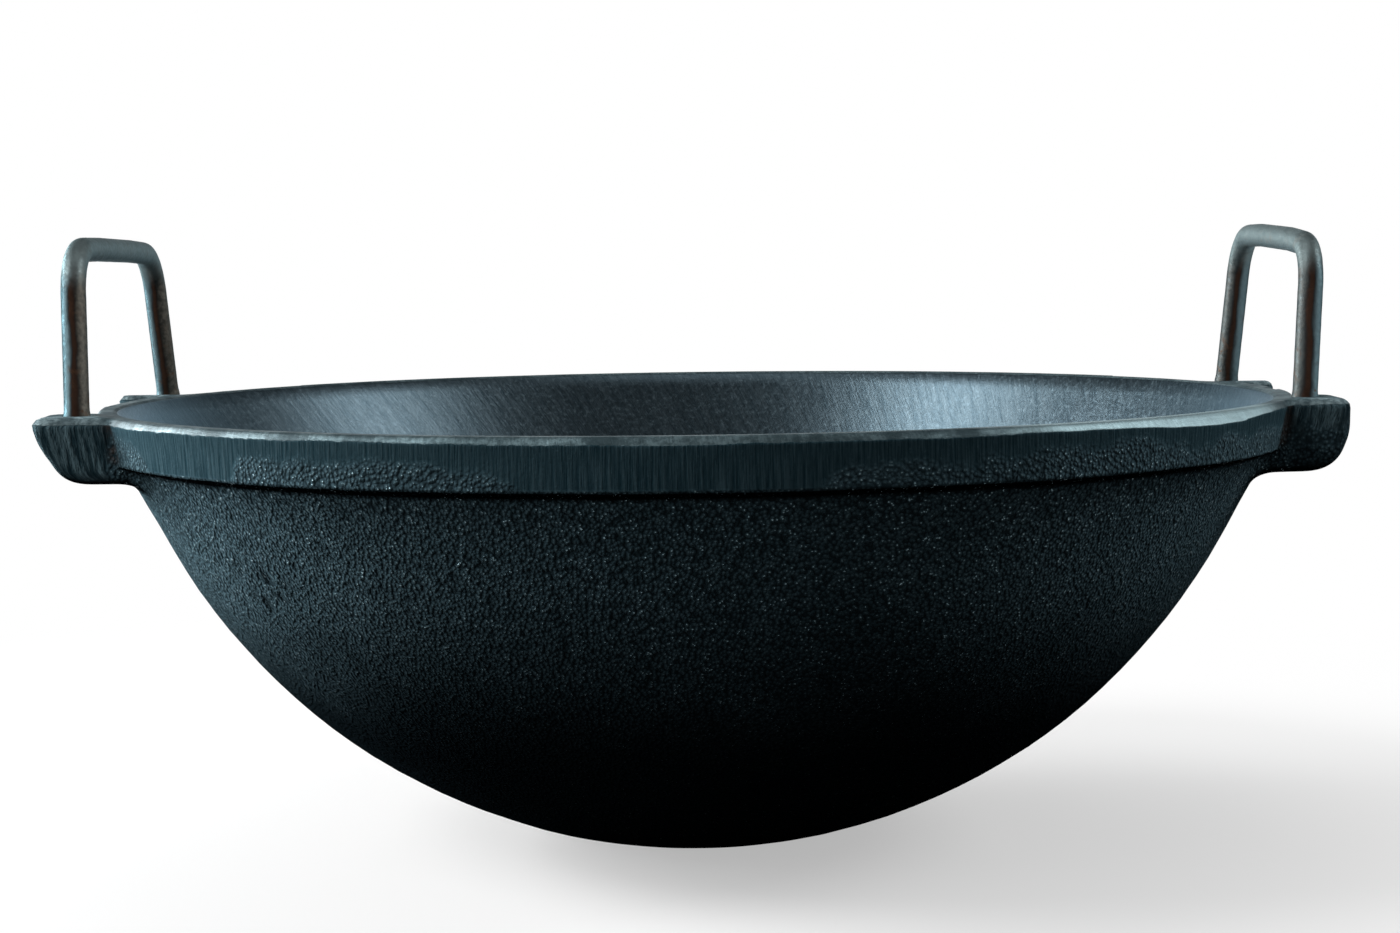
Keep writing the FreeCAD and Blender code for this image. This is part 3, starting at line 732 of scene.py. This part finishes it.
def turned_form():
    """Turns a half-section about Z: a column of its points at each bearing, closer together at the sides."""
    tree, given, end = start_group(
        "turned_form", "GeometryNodeTree",
        (("Section", "NodeSocketGeometry", None), ("Segments", "NodeSocketInt", 64),
         ("Rows", "NodeSocketInt", 16), ("Side crowding", "NodeSocketFloat", 0.0),
         ("Skin", "NodeSocketMaterial", None)),
        (("Geometry", "NodeSocketGeometry"),))
    last_row = minus(tree, given["Rows"], 1.0)
    grid = wire(tree, "GeometryNodeMeshGrid",
                {"Size X": 2 * math.pi, "Size Y": last_row, "Vertices Y": given["Rows"],
                 "Vertices X": plus(tree, given["Segments"], 1.0)}).outputs["Mesh"]
    axes = split(tree, point_place(tree))
    row = calc(tree, "ROUND", plus(tree, axes["Y"], times(tree, last_row, 0.5)))
    section = wire(tree, "GeometryNodeSampleIndex",
                   {"Geometry": given["Section"], "Value": point_place(tree), "Index": row},
                   data_type="FLOAT_VECTOR").outputs[0]
    point = split(tree, section)
    ripple = calc(tree, "SINE", times(tree, axes["X"], 2.0))
    bearing = minus(tree, axes["X"], times(tree, ripple, times(tree, given["Side crowding"], 0.5)))
    turned = wire(tree, "ShaderNodeCombineXYZ",
                  {"X": times(tree, point["X"], calc(tree, "COSINE", bearing)),
                   "Y": times(tree, point["X"], calc(tree, "SINE", bearing)),
                   "Z": point["Z"]}).outputs[0]
    form = wire(tree, "GeometryNodeSetPosition", {"Geometry": grid, "Position": turned}).outputs[0]
    return end({"Geometry": finished_form(tree, form, given["Skin"])})


def bent_rod():
    """Sweeps a round rod along a line of corners, rounds the bends, pits it and beads it at the sockets."""
    tree, given, end = start_group(
        "bent_rod", "GeometryNodeTree",
        (("Corners", "NodeSocketGeometry", None), ("Rod radius", "NodeSocketFloat", ROD_RADIUS),
         ("Bend radius", "NodeSocketFloat", 12 * MM), ("Step", "NodeSocketFloat", ROD_STEP),
         ("Pit depth", "NodeSocketFloat", PIT_DEPTH), ("Bead", "NodeSocketFloat", BEAD_HEIGHT),
         ("Grip depth", "NodeSocketFloat", SOCKET_DEPTH), ("Seed", "NodeSocketFloat", 0.0),
         ("Outer side", "NodeSocketFloat", 1.0), ("Steel", "NodeSocketMaterial", None)),
        (("Geometry", "NodeSocketGeometry"),))
    line = wire(tree, "GeometryNodeMeshToCurve", {0: given["Corners"]}).outputs[0]
    line = wire(tree, "GeometryNodeFilletCurve",
                {"Curve": line, "Count": BEND_POINTS, "Radius": given["Bend radius"], "Limit Radius": True},
                mode="POLY").outputs[0]
    line = wire(tree, "GeometryNodeResampleCurve", {"Curve": line, "Length": given["Step"]},
                mode="LENGTH").outputs[0]
    run = wire(tree, "GeometryNodeSplineParameter").outputs["Length"]
    whole = wire(tree, "GeometryNodeSplineLength").outputs["Length"]
    from_foot = calc(tree, "MINIMUM", run, minus(tree, whole, run))
    line = keep_value(tree, line, "from_foot", from_foot)
    ring = wire(tree, "GeometryNodeCurvePrimitiveCircle",
                {"Resolution": ROD_SIDES, "Radius": given["Rod radius"]}).outputs["Curve"]
    rod = wire(tree, "GeometryNodeCurveToMesh",
               {"Curve": line, "Profile Curve": ring, "Fill Caps": True}).outputs[0]
    away = wire(tree, "GeometryNodeInputNamedAttribute", {"Name": "from_foot"}, data_type="FLOAT").outputs[0]
    bead = calc(tree, "DIVIDE", minus(tree, away, given["Grip depth"]), BEAD_WIDTH)
    bead = calc(tree, "EXPONENT", times(tree, bead, bead, -1.0))
    pits = wire(tree, "ShaderNodeTexNoise",
                {"Vector": point_place(tree), "W": given["Seed"], "Scale": ROD_PIT_FINENESS, "Detail": 3.0},
                noise_dimensions="4D").outputs[0]
    lift = minus(tree, times(tree, bead, given["Bead"]), times(tree, pits, pits, given["Pit depth"]))
    offset = wire(tree, "ShaderNodeVectorMath", {0: point_normal(tree), "Scale": lift},
                  operation="SCALE").outputs[0]
    rod = wire(tree, "GeometryNodeSetPosition", {"Geometry": rod, "Offset": offset}).outputs[0]
    facing = split(tree, point_normal(tree))["X"]
    # Which way each point faces, out from the bowl, for the legs' painted highlights
    rod = keep_value(tree, rod, "outward_facing", times(tree, facing, given["Outer side"]))
    return end({"Geometry": finished_form(tree, rod, given["Steel"])})


# The bowl's half-section

def steps(start, end, count):
    """Evenly spaced points from start towards end, without the end."""
    share = np.arange(count)[:, None] / count
    return np.array(start) * (1 - share) + np.array(end) * share


def bend(radius, centre, first, last, count):
    """Points along a round bottom, by angle from straight down, without the last."""
    angle = first + (last - first) * np.arange(count) / count
    return np.column_stack([radius * np.sin(angle), centre - radius * np.cos(angle)])


def wall_at(height, radius, centre):
    """The point of the straight wall at a height."""
    return ((radius + (height - centre) * math.cos(STEEPNESS)) / math.sin(STEEPNESS), height)


def half_section(bevel):
    """Radius and height of each row, from the middle of the underside round to the middle of the inside."""
    knee = bend(CURVE_RADIUS, CURVE_CENTRE, STEEPNESS, STEEPNESS, 1)[0]
    inside_knee = bend(INSIDE_RADIUS, INSIDE_CENTRE, STEEPNESS, STEEPNESS, 1)[0]
    below_lugs = wall_at(BELOW_LUGS, CURVE_RADIUS, CURVE_CENTRE)
    under_ledge = wall_at(BAND_FOOT - LEDGE_DROP, CURVE_RADIUS, CURVE_CENTRE)
    band_foot = (RIM_RADIUS - BAND_DRAFT, BAND_FOOT)
    band_top = (RIM_RADIUS, LIP_HEIGHT - bevel)
    lip_edge = (RIM_RADIUS - bevel, LIP_HEIGHT)
    mouth_edge = (MOUTH_RADIUS + MOUTH_EDGE_WIDTH, LIP_HEIGHT)
    inside_top = wall_at(LIP_HEIGHT - MOUTH_EDGE_DROP, INSIDE_RADIUS, INSIDE_CENTRE)
    return np.vstack([
        steps((0, 0), (FLAT_RADIUS, 0), ROWS["flat"]),
        bend(CURVE_RADIUS, CURVE_CENTRE, math.asin(FLAT_RADIUS / CURVE_RADIUS), STEEPNESS, ROWS["bottom"]),
        steps(knee, below_lugs, ROWS["wall"]),
        steps(below_lugs, under_ledge, ROWS["under_band"]),
        steps(under_ledge, band_foot, ROWS["ledge"]),
        steps(band_foot, band_top, ROWS["band"]),
        steps(band_top, lip_edge, ROWS["bevel"]),
        steps(lip_edge, mouth_edge, ROWS["lip"]),
        steps(mouth_edge, inside_top, ROWS["mouth"]),
        steps(inside_top, inside_knee, ROWS["inside_wall"]),
        bend(INSIDE_RADIUS, INSIDE_CENTRE, STEEPNESS, 0, ROWS["inside_bottom"]),
        [(0, FLOOR_THICKNESS)],
    ])


# The bowl's skin, as a distance from it

def soft_max(first, second, round_over):
    """The larger of two distances, with the corner between them rounded."""
    share = np.clip(0.5 + 0.5 * (first - second) / round_over, 0, 1)
    return second + (first - second) * share + round_over * share * (1 - share)


def soft_min(first, second, fillet):
    """The smaller of two distances, with a fillet between them."""
    return -soft_max(-first, -second, fillet)


def from_axis(points):
    return np.hypot(points[:, 0], points[:, 1])


def round_wall(reach, height, radius, centre):
    """Distance out from a round bottom that runs on into a straight steep wall."""
    up = height - centre
    ball = np.hypot(reach, up) - radius
    straight = reach * math.sin(STEEPNESS) - up * math.cos(STEEPNESS) - radius
    past_knee = reach * math.cos(STEEPNESS) + up * math.sin(STEEPNESS) > 0
    return np.where(past_knee, straight, ball)


def rim_band(reach, height):
    """Distance out from the thick band round the rim, which overhangs the wall by a sloped ledge."""
    side = reach - RIM_RADIUS + BAND_DRAFT * (BAND_TOP - height) / (BAND_TOP - BAND_FOOT)
    foot_radius = RIM_RADIUS - BAND_DRAFT
    wall_radius = wall_at(BAND_FOOT - LEDGE_DROP, CURVE_RADIUS, CURVE_CENTRE)[0]
    ledge_slope = LEDGE_DROP / (foot_radius - wall_radius)
    foot = BAND_FOOT - height - ledge_slope * (foot_radius - reach)
    return soft_max(side, foot, BAND_ROUND)


def lug_block(points, lug):
    """Distance out from one lug, without its top."""
    out, across, down = points[:, 0] * lug.side, points[:, 1] - lug.offset, LIP_HEIGHT - points[:, 2]
    sides = np.abs(across) - LUG_WIDTH / 2 + LUG_DRAFT * down / lug.depth
    end = np.full(len(points), -1.0)
    for lead, slope in lug.ends:
        plane = (out - lug.reach - lead + slope * down) / math.hypot(1, slope)
        end = soft_max(end, plane, LUG_END_ROUND)
    return soft_max(soft_max(sides, end, LUG_CORNER), down - lug.depth, lug.foot_round)


def lip_bevel(bearing):
    """Width of the bevel round the lip: it wanders with the grinder and widens at the front right."""
    draws = np.random.default_rng(BEVEL_SEED)
    width = np.full(np.shape(bearing), BEVEL)
    for waves, depth in BEVEL_WAVES:
        count = waves + draws.integers(0, 4)
        width = width + depth * np.sin(count * bearing + draws.uniform(0, 2 * math.pi))
    return width + WIDE_FACET * np.exp(-((bearing - WIDE_FACET_BEARING) / WIDE_FACET_SPREAD) ** 2)


def beside_lug(points, lug):
    """The points close enough to a lug to be shaped by it."""
    return (points[:, 0] * lug.side > LUG_SIDE_STARTS) & (np.abs(points[:, 1] - lug.offset) < LUG_INFLUENCE)


def past_rim(points):
    """0 up to the rim, rising to 1 on the lugs."""
    return np.clip((from_axis(points) - RIM_RADIUS) / RIM_BLEND, 0, 1)


def bevel_width(points):
    """Width of the ground bevel at each point, which is narrower on the lugs."""
    return lip_bevel(np.arctan2(points[:, 1], points[:, 0])) * (1 - NARROWER_ON_LUG * past_rim(points))


def rim_top(points):
    """Height of the ground top: level round the lip, and a little tilted on each lug."""
    top = np.full(len(points), LIP_HEIGHT)
    for lug in LUGS:
        near = beside_lug(points, lug)
        beyond = np.clip((from_axis(points[near]) - TILT_STARTS) / TILT_BLEND, 0, 1)
        across = np.clip(points[near, 1] - lug.offset, -TILT_HALF_WIDTH, TILT_HALF_WIDTH)
        top[near] += beyond * (lug.lift + lug.tilt * across)
    return top


def iron(points):
    """Distance from the bowl's skin, below zero inside the iron."""
    height = points[:, 2]
    reach = from_axis(points)
    wall = round_wall(reach, height, CURVE_RADIUS, CURVE_CENTRE)
    outside = soft_min(wall, rim_band(reach, height), LEDGE_ROUND)
    for lug in LUGS:
        near = beside_lug(points, lug)
        below_band = np.clip((BAND_FOOT - height[near]) / SEAT_BELOW_BAND, 0, 1)
        fillet = LUG_FILLET + (SEAT_FILLET - LUG_FILLET) * below_band
        outside[near] = soft_min(outside[near], lug_block(points[near], lug), fillet)
    above = height - rim_top(points)
    bevel = (outside + above + bevel_width(points)) * math.sqrt(0.5)
    bevel_round = BEVEL_ROUND + (BEVEL_ROUND_ON_LUG - BEVEL_ROUND) * past_rim(points)
    capped = soft_max(np.maximum(outside, above), bevel, bevel_round)
    capped = soft_max(capped, -height, FLAT_ROUND)
    return soft_max(capped, -round_wall(reach, height, INSIDE_RADIUS, INSIDE_CENTRE), MOUTH_ROUND)


def skin_slope(points):
    """Distance from the skin at each point, and the direction straight out of it."""
    here = iron(points)
    slopes = [(iron(points + SLOPE_STEP * axis) - here) / SLOPE_STEP for axis in np.eye(3)]
    return here, np.stack(slopes, axis=1)


def onto_skin(points, rounds):
    """Points moved straight to the skin."""
    for _ in range(rounds):
        here, out = skin_slope(points)
        points = points - (here / np.maximum((out ** 2).sum(axis=1), 0.2))[:, None] * out
    return points


# The bowl

def read_places(items, label):
    """Places of vertices or faces, one to a row."""
    places = np.empty(len(items) * 3)
    items.foreach_get(label, places)
    return places.reshape(-1, 3)


def turned_bowl():
    """The bowl without lugs: its mesh, and its points by line and row."""
    flat_section = half_section(0)
    growth = (half_section(MM) - flat_section) / MM
    profile = bpy.data.meshes.new("half_section")
    profile.from_pydata([(reach, 0, height) for reach, height in flat_section], [], [])
    mesh = run_tree(turned_form(), profile, Segments=SEGMENTS, Rows=len(flat_section),
                    Side_crowding=SIDE_CROWDING, Skin=CAST_SKIN)
    places = read_places(mesh.vertices, "co").reshape(SEGMENTS + 1, len(flat_section), 3)

    # The bevel's lower and inner edges follow the width that the grinder left at each bearing
    rim = places[:, ROW_OF["band"]]
    bearing = np.arctan2(rim[:, 1], rim[:, 0])
    outwards = np.column_stack([np.cos(bearing), np.sin(bearing), np.zeros(len(bearing))])
    upwards = np.array([0, 0, 1.0])
    shift = growth[None, :, :1] * outwards[:, None, :] + growth[None, :, 1:] * upwards
    return mesh, places + lip_bevel(bearing)[:, None, None] * shift


def push_out(points, lug):
    """Points that a lug buries, moved straight out to its skin by halving."""
    buried = iron(points) < -BURIED_DEPTH
    near = points[buried]
    far = near.copy()
    far[:, 0] = lug.side * (lug.reach + PUSHED_BEYOND)
    for _ in range(HALVINGS):
        middle = (near + far) / 2
        deep = iron(middle) < 0
        near[deep] = middle[deep]
        far[~deep] = middle[~deep]
    points[buried] = near
    return points


def draw_out_lug(places, lug):
    """Moves the skin out round one lug, then slides its lines until they are evenly spread over it."""
    rows = slice(ROW_OF["under_band"], ROW_OF["mouth"])
    middle_row = places[:, ROW_OF["band"]]
    away = np.abs(middle_row[:, 1] - lug.offset) - LUG_WIDTH / 2
    columns = np.where((away < DRAWN_BESIDE_LUG) & (middle_row[:, 0] * lug.side > 0))[0]
    patch = places[columns, rows]
    patch = push_out(patch.reshape(-1, 3), lug).reshape(patch.shape)
    ease = np.clip((EASE_ENDS - away[columns]) / EASE_WIDTH, 0, 1)[1:-1, None, None]
    for _ in range(SLIDES):
        inner = patch[1:-1, 1:-1]
        middle = (patch[:-2, 1:-1] + patch[2:, 1:-1] + patch[1:-1, :-2] + patch[1:-1, 2:]) / 4
        here, out = skin_slope(inner.reshape(-1, 3))
        out = (out / np.linalg.norm(out, axis=1, keepdims=True)).reshape(inner.shape)
        slide = ease * (middle - inner)
        slide -= (slide * out).sum(axis=2, keepdims=True) * out
        slide /= np.maximum(np.linalg.norm(slide, axis=2, keepdims=True) / LONGEST_SLIDE, 1)
        patch[1:-1, 1:-1] = inner + slide - here.reshape(inner.shape[:2])[..., None] * out
    inner = patch[1:-1, 1:-1]
    patch[1:-1, 1:-1] = onto_skin(inner.reshape(-1, 3), 3).reshape(inner.shape)
    places[columns, rows] = patch


def lumps(points, size, seed):
    """Smooth noise from -1 to 1 at each point."""
    shift = Vector((seed * 3.7, seed * 1.9, -seed * 2.3))
    return np.array([noise.noise(Vector(point) / size + shift) for point in points])


def uneven(points):
    """Points moved in and out by the swells of the mould, within the solid's box."""
    swell = sum(depth * lumps(points, size, seed) for depth, size, seed in SWELLS)
    above_flat = np.clip(points[:, 2] / SWELLS_FULL_ABOVE_FLAT, 0, 1)
    below_lip = np.clip((LIP_HEIGHT - points[:, 2]) / SWELLS_FULL_BELOW_LIP, LEAST_SWELL, 1)
    moved = points + skin_slope(points)[1] * (swell * (above_flat * below_lip))[:, None]
    return np.clip(moved, cad_low, cad_high)


def shape_bowl(places):
    """Fits the rim's lines to the skin, draws out the lugs and makes the outside uneven."""
    skin = slice(ROW_OF["under_band"], ROW_OF["mouth"])
    calm = places[:, skin].reshape(-1, 3)
    close = np.abs(iron(calm)) < CLOSE_TO_SKIN
    calm[close] = onto_skin(calm[close], 2)
    places[:, skin] = calm.reshape(places[:, skin].shape)
    for lug in LUGS:
        draw_out_lug(places, lug)
    outer = slice(ROW_OF["bottom"], ROW_OF["bevel"])
    places[:, outer] = uneven(places[:, outer].reshape(-1, 3)).reshape(places[:, outer].shape)
    return np.clip(places, cad_low, cad_high)


def weld(mesh):
    """Joins the points that lie on each other, at the seam and on the axis."""
    work = bmesh.new()
    work.from_mesh(mesh)
    bmesh.ops.remove_doubles(work, verts=work.verts, dist=WELD_DISTANCE)
    work.to_mesh(mesh)
    work.free()


def refine_lugs(mesh):
    """Halves the faces on the lugs and fits the new points to the skin."""
    points = read_places(mesh.vertices, "co")
    outside = (from_axis(points) > REFINED_FROM) & (points[:, 2] > LUG_FOOT)
    on_lug = np.zeros(len(points), bool)
    for lug in LUGS:
        within = np.abs(points[:, 1] - lug.offset) < LUG_WIDTH / 2 + REFINED_BESIDE_LUG
        on_lug |= beside_lug(points, lug) & within & outside
    work = bmesh.new()
    work.from_mesh(mesh)
    work.verts.ensure_lookup_table()
    edges = set()
    for face in work.faces:
        if all(on_lug[corner.index] for corner in face.verts):
            edges.update(face.edges)
    bmesh.ops.subdivide_edges(work, edges=list(edges), cuts=1, use_grid_fill=True)
    work.to_mesh(mesh)
    work.free()
    finer = read_places(mesh.vertices, "co")
    finer[len(points):] = uneven(onto_skin(finer[len(points):], 3))
    mesh.vertices.foreach_set("co", finer.ravel())


def near_lug(place):
    """Whether a place lies on the rim or the wall close to a lug."""
    beside = any(place.x * lug.side > LUG_SIDE_STARTS and abs(place.y - lug.offset) < LUG_WIDTH
                 for lug in LUGS)
    return beside and place.z > BELOW_LUGS and math.hypot(place.x, place.y) > MOUTH_RADIUS


def is_folded(face):
    """Whether a face is turned over at a corner or sharply creased along an edge."""
    turned = any(loop.calc_normal().dot(face.normal) < FOLD_TURN for loop in face.loops)
    return turned or any(edge.calc_face_angle(0) > FOLD_CREASE for edge in face.edges)


def smooth_folds(mesh):
    """Relaxes the corners beside the lugs where lines folded over each other, and refits them to the skin."""
    work = bmesh.new()
    work.from_mesh(mesh)
    work.verts.index_update()
    zone = [face for face in work.faces if near_lug(face.calc_center_median())]
    for _ in range(FOLD_ROUNDS):
        work.normal_update()
        folded = {}
        for face in zone:
            if is_folded(face):
                folded.update((corner.index, corner) for corner in face.verts)
        if not folded:
            break
        middles = []
        for corner in folded.values():
            around = [edge.other_vert(corner).co for edge in corner.link_edges]
            middles.append((sum(around, Vector()) / len(around) + corner.co) / 2)
        for corner, place in zip(folded.values(), uneven(onto_skin(np.array(middles), 3))):
            corner.co = place
    work.to_mesh(mesh)
    work.free()


def share_finishes(mesh):
    """Gives the outside and the inside their own finishes."""
    mesh.materials.clear()
    for material in (CAST_SKIN, GROUND_INSIDE):
        mesh.materials.append(material)
    centres = read_places(mesh.polygons, "center")
    depth = round_wall(from_axis(centres), centres[:, 2], INSIDE_RADIUS, INSIDE_CENTRE)
    inside = depth < INSIDE_DEPTH
    mesh.polygons.foreach_set("material_index", inside.astype(np.int32))
    mesh.polygons.foreach_set("use_smooth", np.ones(len(inside), bool))


def mark_skin(mesh):
    """Stores where the lugs, the bevel and the worn edges are, and where painted shade goes: crevices, the
    ledge's underside and the lugs' corners.
    """
    points = read_places(mesh.vertices, "co")
    here, out = skin_slope(points)
    steepness = np.linalg.norm(out, axis=1)
    lug_skin = np.zeros(len(points))
    lug_corner = np.zeros(len(points))
    for lug in LUGS:
        near = beside_lug(points, lug)
        reach = from_axis(points[near])
        to_lug = np.abs(lug_block(points[near], lug))
        to_band = np.abs(rim_band(reach, points[near, 2]))
        on_block = np.clip(1.2 - to_lug / LUG_SKIN_DEPTH, 0, 1)
        lug_skin[near] = on_block * np.clip(0.5 + (reach - RIM_RADIUS) / RIM_BLEND, 0, 1)
        lug_corner[near] = np.maximum(lug_corner[near], 1 - (to_lug + to_band) / LUG_CORNER_SHADE)
    masks = {"lug_skin": lug_skin,
             "above_bevel": (points[:, 2] - rim_top(points) + bevel_width(points)) / MM}
    for name, probe, sign in (("edge_wear", WEAR_PROBE, -1), ("crevice_shade_and_rust", CREVICE_PROBE, 1)):
        change = (iron(points + sign * probe * out / steepness[:, None]) - here) / (probe * steepness)
        masks[name] = np.clip((1 - sign * change) * 1.7 - 0.25, 0, 1)
    # The ledge's underside faces down into shade, so it gets the same painted shade as the crevices, as do
    # the lugs' corners
    ledge = np.clip((-out[:, 2] / steepness - 0.6) / 0.2, 0, 1) * (points[:, 2] > LUG_FOOT)
    masks["crevice_shade_and_rust"] = np.maximum(np.maximum(masks["crevice_shade_and_rust"], ledge), 0.8 * lug_corner)
    for name, amount in masks.items():
        layer = mesh.attributes.new(name, "FLOAT", "POINT")
        layer.data.foreach_set("value", amount.astype(np.float32))


def make_bowl():
    mesh, places = turned_bowl()
    mesh.vertices.foreach_set("co", shape_bowl(places).ravel())
    weld(mesh)
    refine_lugs(mesh)
    smooth_folds(mesh)
    share_finishes(mesh)
    mark_skin(mesh)
    return mesh


# Handles

def handle_corners(handle):
    """Feet, shoulders and arched crossbar of a handle, leant out from the bowl."""
    foot = handle.foot_spacing / 2
    back, front = (foot - (rise + SOCKET_DEPTH) * math.tan(handle.splay)
                   for rise in (handle.back_rise, handle.front_rise))
    slope = (handle.back_rise - handle.front_rise) / (back + front)
    crown = [(across, handle.front_rise + slope * (across + front) + handle.arch)
             for across in (CROWN_SPREAD * back, -CROWN_SPREAD * front)]
    upright = ((foot, -SOCKET_DEPTH), (back, handle.back_rise), *crown,
               (-front, handle.front_rise), (-foot, -SOCKET_DEPTH))
    return [(handle.side * (handle.leg_reach + rise * math.sin(handle.lean)), across,
             LIP_HEIGHT + rise * math.cos(handle.lean)) for across, rise in upright]


def make_handle(rod_tree, handle, seed):
    line = handle_corners(handle)
    corners = bpy.data.meshes.new("handle_corners")
    corners.from_pydata(line, [(place, place + 1) for place in range(len(line) - 1)], [])
    return run_tree(rod_tree, corners, Rod_radius=ROD_RADIUS, Bend_radius=handle.bend, Step=ROD_STEP,
                    Pit_depth=PIT_DEPTH, Bead=BEAD_HEIGHT, Grip_depth=SOCKET_DEPTH, Seed=seed,
                    Outer_side=float(handle.side), Steel=TINTED_ROD)


def add_piece(name, mesh, node):
    mesh.name = name
    piece = bpy.data.objects.new(name, mesh)
    scene.collection.objects.link(piece)
    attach(piece, "root")
    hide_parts(node)


add_piece("bowl_casting", make_bowl(), "bowl")
rod_tree = bent_rod()
for number, (name, handle) in enumerate(HANDLES.items()):
    add_piece(f"{name}_rod", make_handle(rod_tree, handle, FIRST_ROD_SEED + number), name)


# Floor, light and camera

def seen_directly(tree):
    """1 for what the camera sees directly, in metal or through glass, and 0 for light that is spread."""
    ray = wire(tree, "ShaderNodeLightPath").outputs
    mirrored = plus(tree, ray["Is Glossy Ray"], ray["Is Transmission Ray"])
    return calc(tree, "ADD", ray["Is Camera Ray"], mirrored, clamp=True)


def make_floor():
    """Pale floor, with the bowl's shadow close by and nearly plain white further out."""
    mesh = bpy.data.meshes.new("floor")
    square = ((-1, -1), (1, -1), (1, 1), (-1, 1))
    mesh.from_pydata([(FLOOR_HALF * x, FLOOR_HALF * y, FLOOR_HEIGHT) for x, y in square], [], [(0, 1, 2, 3)])
    material, tree, shader = new_material("pale_floor")
    seen = seen_directly(tree)
    from_bowl = wire(tree, "ShaderNodeVectorMath", {0: object_place(tree)}, operation="LENGTH")
    further = between(tree, from_bowl.outputs["Value"], SHADOW_CORE, SHADOW_REACH, 0.45, 1.0)
    plain = times(tree, seen, further)
    pale = blend(tree, seen, FLOOR_BOUNCE, FLOOR_SEEN)
    feed(tree, shader, Base_Color=blend(tree, plain, pale, BLACK), Roughness=0.9, Specular_IOR_Level=0.0,
         Emission_Color=blend(tree, plain, BLACK, WHITE), Emission_Strength=1.0)
    mesh.materials.append(material)
    floor = bpy.data.objects.new("floor", mesh)
    scene.collection.objects.link(floor)


def make_world():
    """White round the horizon and dim overhead, with little light of its own."""
    world = bpy.data.worlds.new("studio")
    scene.world = world
    world.use_nodes = True
    tree = world.node_tree
    tree.nodes.clear()
    up = split(tree, wire(tree, "ShaderNodeTexCoord").outputs["Generated"])["Z"]
    backdrop = blend(tree, between(tree, up, HORIZON_ENDS, OVERHEAD_STARTS), WHITE, ROOM_OVERHEAD)
    shade = blend(tree, seen_directly(tree), ROOM_LIGHT, backdrop)
    background = wire(tree, "ShaderNodeBackground", {"Color": shade, "Strength": 1.0})
    wire(tree, "ShaderNodeOutputWorld", {"Surface": background.outputs[0]})


def add_lamp(name, kind, place, strength, **settings):
    """A lamp aimed at the bowl."""
    lamp = bpy.data.lights.new(name, kind)
    lamp.energy = strength
    for label, value in settings.items():
        setattr(lamp, label, value)
    holder = bpy.data.objects.new(name, lamp)
    holder.location = place
    holder.rotation_euler = (Vector(LIGHT_AIM) - Vector(place)).to_track_quat("-Z", "Y").to_euler()
    scene.collection.objects.link(holder)


def make_camera():
    """A camera at the photograph's own place, turned and rolled as it was."""
    onward = math.cos(CAMERA_PITCH)
    forward = Vector((-math.sin(CAMERA_YAW) * onward, math.cos(CAMERA_YAW) * onward, -math.sin(CAMERA_PITCH)))
    right = forward.cross(Vector((0, 0, 1))).normalized()
    up = right.cross(forward)
    right, up = (right * math.cos(CAMERA_ROLL) + up * math.sin(CAMERA_ROLL),
                 up * math.cos(CAMERA_ROLL) - right * math.sin(CAMERA_ROLL))
    lens = bpy.data.cameras.new("camera")
    lens.sensor_width = SENSOR_WIDTH
    lens.lens = SENSOR_WIDTH * FOCAL_PIXELS / PHOTO_WIDTH
    lens.clip_start = NEAREST_VIEW
    camera = bpy.data.objects.new("camera", lens)
    turned = Matrix((right, up, -forward)).transposed().to_4x4()
    camera.matrix_world = Matrix.Translation(CAMERA_PLACE) @ turned
    scene.collection.objects.link(camera)
    scene.camera = camera


make_floor()
make_world()
for name, (place, strength) in WINDOWS.items():
    add_lamp(name, "SUN", place, strength, angle=WINDOW_ANGLE)
for name, (place, strength, size) in BOXES.items():
    add_lamp(name, "AREA", place, strength, size=size)
make_camera()
